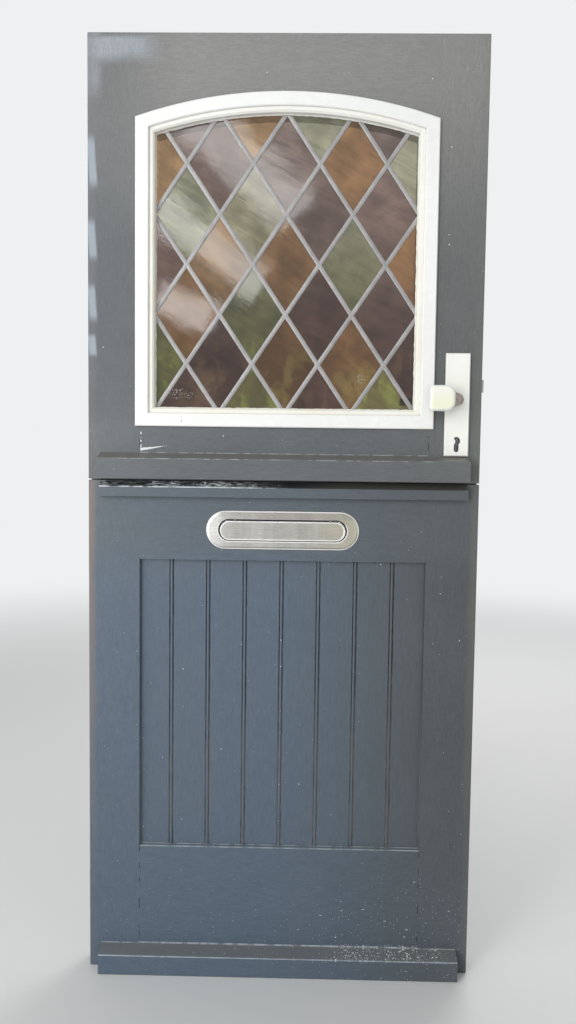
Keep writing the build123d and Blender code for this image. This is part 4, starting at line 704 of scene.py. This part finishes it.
def brushed_metal(name, clean, dull, smooth, spread=0.22, metallic=1.0, along_z=1.0):
    """Plated metal, or brushed with long lines along Z, with smears, and dirt and painted shade in the
    corners.
    """
    f = Finish(name)
    lines = f.noise(1600.0, (1.0, 1.0, along_z), 3.0, 0.6)
    smear = f.noise(22.0, (1.0, 1.0, 0.5), 4.0, warp=0.5)
    f.colour = f.mix(f.span(smear, 0.35, 0.75), clean, dull)
    f.shade(lines, 0.90, 1.06)
    # Dirt and painted shade in the corners
    f.lay(f.recess(0.004, 0.75), METAL_DIRT_AND_SHADE)
    f.lay(f.specks(0.008, 0.0006, 0.06), METAL_SPECK, 0.6)
    rough = f.span(lines, 0.25, 0.8, smooth, smooth + spread)
    f.set(Metallic=metallic, Roughness=rough)
    return f.relief((lines, 0.00006), (smear, 0.0003))


# Letter plate: steel at both sides, the lock side's yellow partly painted reflection, then lighter and
# darker parts as painted reflections, painted highlights, and dirt with painted shade
LETTER_STEEL = ((0.50, 0.485, 0.455), (0.52, 0.49, 0.39))
LETTER_END_REFLECTION = (0.85, 0.84, 0.82)
LETTER_FOOT_REFLECTION = (0.64, 0.61, 0.58)
LETTER_TOP_REFLECTION = (0.36, 0.33, 0.31)
LETTER_DIRT_AND_SHADE = (0.035, 0.030, 0.025)
LETTER_RIM_HIGHLIGHT = (0.92, 0.91, 0.88)


def slot_distance(f, up, half_width, radius):
    """Distance from the middle line of a slot with round ends."""
    past_straight = f.minus(f.absolute(f.x), half_width - radius)
    inputs = {0: f.math("MAXIMUM", past_straight, 0.0), 1: up}
    offset = f.make("ShaderNodeCombineXYZ", inputs).outputs[0]
    return f.vector("LENGTH", {0: offset}, "Value")


def letter_steel():
    """Brushed steel, clouded in soft upright bands and yellowed towards the lock side, partly as painted
    reflections, with painted highlights along its rims and a darker top as painted reflection.
    """
    f = Finish("letter_steel")
    lines = f.noise(1600.0, (0.02, 1.0, 1.0), 3.0, 0.6)
    bands = f.noise(24.0, (1.0, 1.0, 0.15), shift=3.0)
    up = f.minus(f.z, SLOT_MIDDLE)
    # Painted reflections, partly: yellowed towards the lock side, a pale end at the hinge side, a
    # lighter foot and soft upright bands
    f.colour = f.mix(f.span(f.x, 0.03, 0.15), *LETTER_STEEL)
    f.lay(f.span(f.x, -0.12, -0.16, 0.0, 0.6), LETTER_END_REFLECTION)
    f.lay(f.span(up, -0.009, -0.029), LETTER_FOOT_REFLECTION, 0.20)
    f.shade(bands, 0.84, 1.12)
    f.shade(lines, 0.94, 1.04)
    # Dirt and painted shade in the corners
    f.lay(f.recess(0.004, 0.9), LETTER_DIRT_AND_SHADE)
    # Painted highlights in lines along the plate's outer edge, and round the slot below the rod
    from_middle = slot_distance(f, up, PLATE_HALF_WIDTH, PLATE_RADIUS)
    outer_line = f.band(from_middle, PLATE_RADIUS - 0.0012, 0.0011, 0.0006)
    from_middle = slot_distance(f, up, SLOT_HALF_WIDTH, SLOT_RADIUS)
    slot_line = f.band(from_middle, SLOT_RADIUS + 0.0009, 0.0009, 0.0006)
    slot_line = f.all_of(slot_line, f.span(up, 0.010, 0.018, 1.0, 0.0))
    bright = f.all_of(f.any_of(outer_line, slot_line), f.below(f.y, OUTSIDE - 0.0001))
    f.lay(bright, LETTER_RIM_HIGHLIGHT, 0.9)
    # Painted reflection: darker along the top
    top_part = f.all_of(f.span(up, 0.023, 0.027), f.span(f.x, -0.12, -0.03))
    f.lay(f.all_of(top_part, f.minus(1.0, bright)), LETTER_TOP_REFLECTION, 0.5)
    rough = f.span(lines, 0.25, 0.8, 0.20, 0.42)
    f.set(Metallic=f.span(bright, 0.0, 1.0, 1.0, 0.4), Roughness=rough)
    return f.relief((lines, 0.00006), (bands, 0.0003))


# Enamelled iron, and where it is chipped
IRON = ((0.022, 0.022, 0.023), (0.038, 0.037, 0.036))
IRON_ARRIS = (0.22, 0.19, 0.16)


def black_iron():
    """Satin black enamel over iron, chipped along its edges."""
    f = Finish("black_iron")
    cloud = f.noise(40.0, detail=4.0)
    peel = f.noise(500.0, detail=2.0)
    rub = f.all_of(f.edges(0.0007), f.span(f.noise(160.0, detail=4.0), 0.48, 0.6))
    f.colour = f.mix(f.span(cloud, 0.3, 0.7), *IRON)
    f.lay(rub, IRON_ARRIS, 0.7)
    f.set(Roughness=f.span(cloud, 0.2, 0.8, 0.32, 0.5))
    return f.relief((peel, 0.00007), (cloud, 0.0002))


finishes = {
    "upper_rail": painted_timber("upper_rail_paint", UPPER_TONES, "x", False),
    "upper_stile": painted_timber("upper_stile_paint", UPPER_TONES, "z", False),
    "lower_rail": painted_timber("lower_rail_paint", LOWER_TONES, "x", True),
    "lower_stile": painted_timber("lower_stile_paint", LOWER_TONES, "z", True),
    "white": white_paint("white_paint", (0.93, 0.93, 0.91), (0.89, 0.89, 0.86)),
    "bead": white_paint("bead_paint", (0.93, 0.92, 0.85), (0.88, 0.84, 0.72)),
    "lead": lead("lead", (0.37, 0.355, 0.35), (0.085, 0.082, 0.082), 0.40),
    "solder": lead("solder", (0.38, 0.37, 0.365), (0.10, 0.10, 0.10), 0.44),
    **{glass: streaky_glass(glass, *tones) for glass, tones in GLASS.items()},
    "outer_plate": cream_metal("plate_lacquer", (0.95, 0.95, 0.88), (0.91, 0.91, 0.85)),
    "knob": cream_metal("knob_lacquer", (0.92, 0.92, 0.69), (0.90, 0.91, 0.88), KNOB_HEAD_BACK),
    "letter": letter_steel(),
    "rim": brushed_metal("rim_steel", (0.90, 0.89, 0.86), (0.80, 0.79, 0.76), 0.20, 0.12, 0.4),
    "screw": brushed_metal("screw_steel", (0.60, 0.60, 0.58), (0.42, 0.42, 0.41), 0.28),
    "lever": brushed_metal("lever_steel", (0.60, 0.60, 0.58), (0.46, 0.46, 0.44), 0.20, along_z=0.02),
    "zinc": brushed_metal("zinc_steel", (0.46, 0.47, 0.47), (0.34, 0.35, 0.36), 0.42),
    "iron": black_iron(),
    "bright": brushed_metal("bright_rod", (0.72, 0.72, 0.71), (0.55, 0.55, 0.54), 0.14, 0.12),
}


# Finishes and the beginnings of the names of the pieces that show them
SHOWN_BY = {
    "upper_stile": ("upper_hinge_stile", "upper_lock_stile"),
    "upper_rail": ("upper_top_rail", "upper_bottom_rail", "upper_drip_bar"),
    "lower_stile": ("board", "lower_hinge_stile", "lower_lock_stile"),
    "lower_rail": ("lower_top_rail", "lower_bottom_rail", "lower_drip_bar", "meeting_bar"),
    "white": ("surround", "casing"),
    "bead": ("glazing",),
    "lead": ("lead_cames",),
    "letter": ("letter",),
    "lever": ("inner_plate", "lever_handle"),
    "iron": ("door_bolt_base", "coupling_bolt_base", "coupling_keep", "flap_rod"),
    "bright": ("door_bolt_rod", "coupling_bolt_rod"),
}


def finish_of(name):
    """The finish that a node shows: its own, the table's or else zinc."""
    if name in finishes:
        return name
    for finish, beginnings in SHOWN_BY.items():
        if name.startswith(beginnings):
            return finish
    return "zinc"


for name, node in nodes.items():
    finish = finishes[finish_of(name)]
    for material_slot in node.material_slots:
        material_slot.material = finish


# Shapes
def add_object(name, data):
    made = bpy.data.objects.new(name, data)
    bpy.context.scene.collection.objects.link(made)
    return made


def add_piece(name, mesh, body, finish):
    """Makes a piece from a bmesh, with its finish, riding on a body."""
    bmesh.ops.recalc_face_normals(mesh, faces=mesh.faces)
    data = bpy.data.meshes.new(name)
    mesh.to_mesh(data)
    mesh.free()
    data.materials.append(finishes[finish])
    data.shade_smooth()
    data.set_sharp_from_angle(angle=math.radians(40))
    piece = add_object(name, data)
    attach(piece, body)
    return piece


def outline(inset, arch_steps=40):
    """Corners and arch points of the light's outline, drawn inside the timber opening by inset."""
    half = OPENING_HALF - inset
    radius = ARCH_RADIUS - inset
    spring_angle = math.asin(half / radius)
    points = [(-half, SILL + inset), (half, SILL + inset)]
    for i in range(arch_steps + 1):
        angle = spring_angle * (1 - 2 * i / arch_steps)
        points.append((radius * math.sin(angle), ARCH_CENTRE + radius * math.cos(angle)))
    return points


def bridge(mesh, rings, closed_path=True):
    """Bridges rings of points into faces. A path that isn't closed gets a face at both ends."""
    made = [[mesh.verts.new(p) for p in ring] for ring in rings]
    count = len(made[0])
    steps = len(made) if closed_path else len(made) - 1
    for i in range(steps):
        a, b = made[i], made[(i + 1) % len(made)]
        for j in range(count):
            k = (j + 1) % count
            mesh.faces.new((a[j], a[k], b[k], b[j]))
    if not closed_path:
        mesh.faces.new(made[0])
        mesh.faces.new(list(reversed(made[-1])))


def came_profile(half):
    """Section of a came: two rounded flanges on a thin heart, as (across, depth) points."""
    shape = [(-1.0, 0.0), (-0.94, 0.42), (-0.68, 0.80), (-0.32, 0.97), (0.0, 1.0)]
    shape += [(-s, d) for s, d in reversed(shape[:-1])]
    crown = GLASS_FRONT - LEAD_FRONT
    front = [(s * half, GLASS_FRONT - d * crown) for s, d in shape]
    back = [(-s * half, GLASS_BACK + d * crown) for s, d in shape]
    return [(-HEART_HALF, GLASS_FRONT), *front, (HEART_HALF, GLASS_FRONT),
            (HEART_HALF, GLASS_BACK), *back, (-HEART_HALF, GLASS_BACK)]


def arch_height(x, inset):
    return ARCH_CENTRE + math.sqrt((ARCH_RADIUS - inset) ** 2 - x * x)


def clip_to_light(start, end, inset):
    """The stretch of a line inside the outline drawn in by inset, or nothing."""
    inside = []
    steps = 2000
    for i in range(steps + 1):
        point = start.lerp(end, i / steps)
        within = abs(point.x) <= OPENING_HALF - inset and point.y >= SILL + inset
        if within and point.y <= arch_height(point.x, inset):
            inside.append(point)
    return (inside[0], inside[-1]) if len(inside) > 1 else None


def make_cames():
    """One sweep round the border and straight bars along both diagonals."""
    cames = bmesh.new()
    profile = came_profile(BORDER_CAME_HALF)
    border = [outline(BORDER_CAME_INSET + across) for across, depth in profile]
    rings = [
        [(line[i][0], depth, line[i][1]) for line, (across, depth) in zip(border, profile)]
        for i in range(len(border[0]))
    ]
    bridge(cames, rings)
    top = LATTICE_BOTTOM + LATTICE_ROWS * LOZENGE_HALF_HEIGHT
    outermost = LATTICE_REACH + LATTICE_ROWS
    for slope in (1, -1):
        for k in range(-outermost, outermost + 1, 2):
            foot = Vector((k * LOZENGE_HALF_WIDTH, LATTICE_BOTTOM))
            head = Vector(((k + LATTICE_ROWS * slope) * LOZENGE_HALF_WIDTH, top))
            run = clip_to_light(foot, head, BORDER_CAME_INSET - BORDER_CAME_HALF / 2)
            if run is None or (run[1] - run[0]).length < SHORTEST_CAME:
                continue
            ahead = (run[1] - run[0]).normalized()
            side = Vector((ahead.y, -ahead.x))
            rings = [
                [
                    ((end + side * across).x, depth, (end + side * across).y)
                    for across, depth in came_profile(CAME_HALF)
                ]
                for end in run
            ]
            bridge(cames, rings, closed_path=False)
    piece = add_piece("leaded_cames", cames, "upper_leaf", "lead")
    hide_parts("lead_cames")


def make_solder():
    """A flat uneven pool over each crossing, outside and inside."""
    solder = bmesh.new()
    shape = ((0.0, 1.0), (0.45, 0.98), (0.75, 0.85), (0.93, 0.50), (1.0, 0.0))
    corners = 28
    for row in range(LATTICE_ROWS + 1):
        for k in range(-LATTICE_REACH, LATTICE_REACH + 1):
            x = k * LOZENGE_HALF_WIDTH
            z = LATTICE_BOTTOM + row * LOZENGE_HALF_HEIGHT
            if (k + row) % 2 or abs(x) > OPENING_HALF - SOLDER_INSET:
                continue
            if z < SILL + SOLDER_INSET or z > arch_height(x, SOLDER_INSET):
                continue
            for glass, outwards in ((GLASS_FRONT, -1), (GLASS_BACK, 1)):
                size = random.uniform(*SOLDER_SIZES)
                rings = []
                for reach, rise in reversed(shape[1:]):
                    ring = []
                    for i in range(corners):
                        angle = math.tau * i / corners
                        direction = Vector((math.cos(angle), 0.0, math.sin(angle)))
                        uneven = noise.noise(direction * 1.5 + Vector((x * 90, outwards, z * 70)))
                        bulge = (1 + 0.14 * uneven) * (1 + 0.20 * abs(math.sin(2 * angle)))
                        spot = direction * size * reach * bulge
                        height = outwards * SOLDER_HEIGHT * rise
                        ring.append((x + spot.x, glass + height, z + 1.1 * spot.z))
                    rings.append(ring)
                rings.insert(0, [(px, glass - outwards * 0.0002, pz) for px, py, pz in rings[0]])
                bridge(solder, rings, closed_path=False)
    add_piece("solder_joints", solder, "upper_leaf", "solder")


def make_putty():
    """Putty smeared along the sight line, uneven where the painter's brush ran over it."""
    putty = bmesh.new()
    corners = outline(SIGHT_INSET, 60)
    stations = []
    for i in range(len(corners)):
        a, b = Vector(corners[i]), Vector(corners[(i + 1) % len(corners)])
        pieces = max(1, round((b - a).length / PUTTY_STEP))
        stations += [(i, j / pieces) for j in range(pieces)]

    def along(inset, i, share):
        line = outline(SIGHT_INSET + inset, 60)
        return Vector(line[i]).lerp(Vector(line[(i + 1) % len(line)]), share)

    rings = []
    for i, share in stations:
        point = along(0.0, i, share)
        wobble = noise.noise(Vector((point.x * 90, point.y * 90, 3.0)))
        wobble += 0.6 * noise.noise(Vector((point.x * 260, point.y * 260, 8.0)))
        reach = PUTTY_REACH[0] + PUTTY_REACH[1] * wobble
        height = PUTTY_HEIGHT[0] + PUTTY_HEIGHT[1] * wobble
        section = (
            (-0.0003, LEAD_FRONT - height),
            (reach * 0.45, LEAD_FRONT - height * 0.45),
            (reach, GLASS_FRONT + 0.0001),
            (-0.0003, GLASS_FRONT + 0.0001),
        )
        ring = []
        for inset, y in section:
            spot = along(inset, i, share)
            ring.append((spot.x, y, spot.y))
        rings.append(ring)
    bridge(putty, rings)
    add_piece("putty_line", putty, "upper_leaf", "bead")


def slot_outline(half_width, radius, middle, steps=24):
    """Points round a slot with round ends, and the way that each faces, from the right end's foot."""
    points = []
    for side, first in ((1, -90), (-1, 90)):
        for i in range(steps + 1):
            angle = math.radians(first + 180 * i / steps)
            out = Vector((math.cos(angle), math.sin(angle)))
            points.append((Vector((side * (half_width - radius), middle)) + out * radius, out))
    return points


def make_flap_rim():
    """A round bead rolled along the flap's edge."""
    rim = bmesh.new()
    rings = []
    middle = RIM_REACH - RIM_RADIUS
    inner = middle - RIM_RADIUS - 0.0002
    section = [(inner, RIM_BACK), (inner, FLAP_FACE + 0.0001)]
    for i in range(9):
        angle = math.pi * (1 - i / 8)
        across = middle + RIM_RADIUS * math.cos(angle)
        section.append((across, FLAP_FACE - RIM_DEPTH * math.sin(angle)))
    section.append((RIM_REACH, RIM_BACK))
    for point, out in slot_outline(FLAP_HALF_WIDTH, FLAP_RADIUS, FLAP_MIDDLE):
        spots = [(point + out * across, y) for across, y in section]
        rings.append([(spot.x, y, spot.y) for spot, y in spots])
    bridge(rim, rings)
    add_piece("flap_rim", rim, "letter_flap", "rim")


def make_flap_shade_strip():
    """A thin black strip in the slot behind the flap's edge, standing in for shade there, open at the
    top where the rod runs.
    """
    shade_strip = bmesh.new()
    rings = []
    steps = 36
    lowest_first = slot_outline(FLAP_HALF_WIDTH, FLAP_RADIUS, FLAP_MIDDLE, steps)
    right_end, left_end = lowest_first[:steps + 1], lowest_first[steps + 1:]
    for point, out in left_end + right_end:
        if out.y > SHADE_STRIP_END:
            continue
        near = point + out * (RIM_REACH + SHADE_STRIP_GAP)
        centre = Vector((math.copysign(SLOT_HALF_WIDTH - SLOT_RADIUS, point.x), SLOT_MIDDLE))
        far = centre + out * SLOT_RADIUS
        corners = ((near, SHADE_STRIP_FRONT), (far, SHADE_STRIP_FRONT), (far, SHADE_STRIP_BACK), (near, SHADE_STRIP_BACK))
        rings.append([(spot.x, y, spot.y) for spot, y in corners])
    bridge(shade_strip, rings, closed_path=False)
    add_piece("flap_shade_strip", shade_strip, "lower_leaf", "iron")


def islands(node):
    """The loose parts of a node, each as a list of its corners."""
    mesh = bmesh.new()
    mesh.from_mesh(node.data)
    bmesh.ops.remove_doubles(mesh, verts=mesh.verts, dist=1e-6)
    left = dict.fromkeys(mesh.verts)
    parts = []
    while left:
        reached = [next(iter(left))]
        del left[reached[0]]
        part = []
        while reached:
            corner = reached.pop()
            part.append(corner.co.copy())
            for edge in corner.link_edges:
                other = edge.other_vert(corner)
                if other in left:
                    del left[other]
                    reached.append(other)
        parts.append(part)
    mesh.free()
    return parts


def cross_reach(angle, arm, width):
    """Distance from the middle of a cross to its outline."""
    folded = math.radians(abs((math.degrees(angle) + 45) % 90 - 45))
    if math.tan(folded) < width / arm:
        return arm / math.cos(folded)
    return width / math.sin(folded)


def turned_profile(part, middle, axis, end):
    """Rings of a turned part from one end on, each a depth from that end and a radius."""
    rings = set()
    for corner in part:
        offset = corner - middle
        offset[axis] = 0
        rings.add((round(abs(corner[axis] - end), 5), -round(offset.length, 5)))
    return [(depth, -radius) for depth, radius in sorted(rings)]


def make_screws(name, body):
    """The screws of a node again, ring for ring, with a cross sunk into each head."""
    screws = bmesh.new()
    turns = [math.tau * i / 48 for i in range(48)]

    def end_radius(profile):
        return max(radius for depth, radius in profile if depth < HEAD_DEPTH)

    for part in islands(nodes[name]):
        spans = [[corner[i] for corner in part] for i in range(3)]
        sizes = [max(span) - min(span) for span in spans]
        axis = sizes.index(max(sizes))
        middle = Vector((min(span) + max(span)) / 2 for span in spans)
        tip, top = min(spans[axis]), max(spans[axis])
        from_tip, rings = (turned_profile(part, middle, axis, end) for end in (tip, top))
        inwards = Vector()
        inwards[axis] = -1
        if end_radius(from_tip) >= end_radius(rings):
            # The head is at the other end
            top, rings = tip, from_tip
            inwards[axis] = 1
        side = Vector((0, 0, 1))
        other = inwards.cross(side)
        spin = random.uniform(0, math.tau)
        head = max(radius for depth, radius in rings)
        arm, width = CROSS_ARM * head, CROSS_WIDTH * head
        loops = []
        for depth, share in ((CROSS_DEPTH, 0.70), (0.0, 1.0)):
            loops.append([(depth, cross_reach(turn, arm * share, width * share)) for turn in turns])
        # The cross is cut from the head's flat or domed top
        for depth, radius in rings:
            if radius > 1.15 * arm or depth > HEAD_DEPTH:
                loops.append([(depth, max(radius, 0.0002))] * len(turns))
        placed = []
        for loop in loops:
            ring = []
            for turn, (depth, radius) in zip(turns, loop):
                angle = turn + spin
                spot = middle + (side * math.cos(angle) + other * math.sin(angle)) * radius
                spot[axis] = top + inwards[axis] * depth
                ring.append(spot)
            placed.append(ring)
        bridge(screws, placed, closed_path=False)
    piece = add_piece(name + "_detailed", screws, body, "screw")
    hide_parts(name)


make_cames()
make_solder()
make_putty()
make_flap_rim()
make_flap_shade_strip()
make_screws("lower_screws", "lower_leaf")
make_screws("upper_screws", "upper_leaf")

# Weather bars and the letter plate get softened arrises
ARRISES = dict.fromkeys(("upper_drip_bar", "lower_drip_bar", "meeting_bar"), 0.0009)
ARRISES["letter_plate"] = 0.0006
for name, width in ARRISES.items():
    weld = nodes[name].modifiers.new("weld", "WELD")
    weld.merge_threshold = 0.00001
    bevel = nodes[name].modifiers.new("arris", "BEVEL")
    bevel.width = width
    bevel.segments = 2
    bevel.limit_method = "ANGLE"
    bevel.angle_limit = math.radians(35)


# Stage, light and camera
BACKGROUND = (0.86, 0.87, 0.88)
WORLD_STRENGTH = 0.57
FLOOR_RADIUS = 9.0
FLOOR_FADE = (2.2, 6.5)
FLOOR_COLOUR = (0.74, 0.74, 0.73)

# Lamps: place, height on the door that each is aimed at, name, size, radiance, and tint if any
LAMPS = (
    ((-2.4, -3.3, 2.1), 1.0, "key", (1.6, 3.0), 4.9, (0.97, 0.99, 1.0)),
    ((-2.9, -1.5, 1.25), 1.1, "side", (0.7, 2.4), 2.6),
    ((-1.75, -2.9, 1.0), 1.03, "low", (0.45, 0.8), 5.5),
    ((1.6, 3.2, 2.8), 1.1, "fill_back", (2.0, 2.0), 4.4),
)

# Strip lamps: name, then both ends, width and radiance of the reflection on the glass
STRIPS = (
    ("strip_top", (-0.216, 1.953), (0.030, 1.732), 0.100, 5.0),
    ("strip_middle", (-0.282, 1.745), (-0.053, 1.578), 0.080, 6.0),
    ("strip_low", (-0.291, 1.554), (-0.162, 1.500), 0.068, 7.0),
)
STRIPS_DEPTH = -3.0

# Camera: pitch, turn and roll in degrees, focal length in shares of the picture's height
CAMERA_PLACE = Vector((0.0442, -1.9176, 1.1964))
CAMERA_ANGLES = (-3.79, 0.98, -0.78)
FOCAL_LENGTH = 840.0 / 1024.0
SENSOR_SIZE = 36.0


def stage_floor():
    disc = bmesh.new()
    bmesh.ops.create_circle(disc, cap_ends=True, segments=96, radius=FLOOR_RADIUS)
    bmesh.ops.translate(disc, verts=disc.verts, vec=(0.0, 0.0, -0.001))
    data = bpy.data.meshes.new("stage_floor")
    disc.to_mesh(data)
    disc.free()
    f = Finish("stage_floor")
    f.colour = FLOOR_COLOUR
    f.set(Roughness=0.6)
    glow = f.make("ShaderNodeEmission", {"Color": BACKGROUND, "Strength": 1.0})
    distance = f.vector("LENGTH", {0: f.place}, "Value")
    inputs = {0: f.span(distance, *FLOOR_FADE), 1: f.shader.outputs[0], 2: glow.outputs[0]}
    blend = f.make("ShaderNodeMixShader", inputs)
    f.feed(f.output.inputs["Surface"], blend.outputs[0])
    data.materials.append(f.material)
    add_object("stage_floor", data)


def world_light():
    """An even sky, seen and mirrored at full strength but lighting the door less."""
    world = bpy.data.worlds.new("studio")
    bpy.context.scene.world = world
    world.use_nodes = True
    tree = world.node_tree
    background = tree.nodes["Background"]
    rays = tree.nodes.new("ShaderNodeLightPath").outputs
    seen = rays["Is Camera Ray"]
    for ray in ("Is Glossy Ray", "Is Transmission Ray"):
        either = tree.nodes.new("ShaderNodeMath")
        either.operation = "MAXIMUM"
        tree.links.new(seen, either.inputs[0])
        tree.links.new(rays[ray], either.inputs[1])
        seen = either.outputs[0]
    level = tree.nodes.new("ShaderNodeMapRange")
    level.inputs["To Min"].default_value = WORLD_STRENGTH
    level.inputs["To Max"].default_value = 1.0
    tree.links.new(seen, level.inputs["Value"])
    background.inputs["Color"].default_value = (*BACKGROUND, 1)
    tree.links.new(level.outputs[0], background.inputs["Strength"])


def soft_light(name, size, radiance, tint=(1.0, 1.0, 1.0)):
    """A rectangular lamp of a given brightness, not yet in its place."""
    data = bpy.data.lights.new(name, "AREA")
    data.shape = "RECTANGLE"
    data.size, data.size_y = size
    data.energy = math.pi * size[0] * size[1] * radiance
    data.color = tint
    light = add_object(name, data)
    light.visible_camera = False
    light.visible_transmission = False
    return light


def reflected_strip(name, start, end, width, radiance):
    """A strip lamp whose mirror image lies along a line on the glass, from start to end."""
    ends = []
    for x, z in (start, end):
        glass = Vector((x, GLASS_FRONT, z))
        ray = glass - CAMERA_PLACE
        ray.y = -ray.y
        ends.append(glass + ray * ((STRIPS_DEPTH - GLASS_FRONT) / ray.y))
    along = ends[1] - ends[0]
    spread = along.length / math.dist(start, end)
    light = soft_light(name, (along.length, width * spread), radiance)
    turn = math.atan2(along.z, along.x)
    light.matrix_world = (
        Matrix.Translation((ends[0] + ends[1]) / 2)
        @ Matrix.Rotation(-turn, 4, "Y")
        @ Matrix.Rotation(math.pi / 2, 4, "X")
    )


def add_camera():
    data = bpy.data.cameras.new("camera")
    data.sensor_width = SENSOR_SIZE
    data.lens = FOCAL_LENGTH * SENSOR_SIZE
    camera = add_object("camera", data)
    pitch, turn, roll = (math.radians(angle) for angle in CAMERA_ANGLES)
    axes = Matrix.Rotation(pitch, 3, "X") @ Matrix.Rotation(turn, 3, "Z") @ Matrix.Rotation(roll, 3, "Y")
    right, forward, up = axes.col
    turned = Matrix((right, up, -forward)).transposed().to_4x4()
    camera.matrix_world = Matrix.Translation(CAMERA_PLACE) @ turned
    bpy.context.scene.camera = camera


stage_floor()
world_light()
for place, height, *lamp in LAMPS:
    light = soft_light(*lamp)
    light.location = place
    ray = Vector((0.0, 0.0, height)) - light.location
    light.rotation_euler = ray.to_track_quat("-Z", "Y").to_euler()
for strip in STRIPS:
    reflected_strip(*strip)
add_camera()
bpy.context.scene.view_settings.view_transform = "Standard"
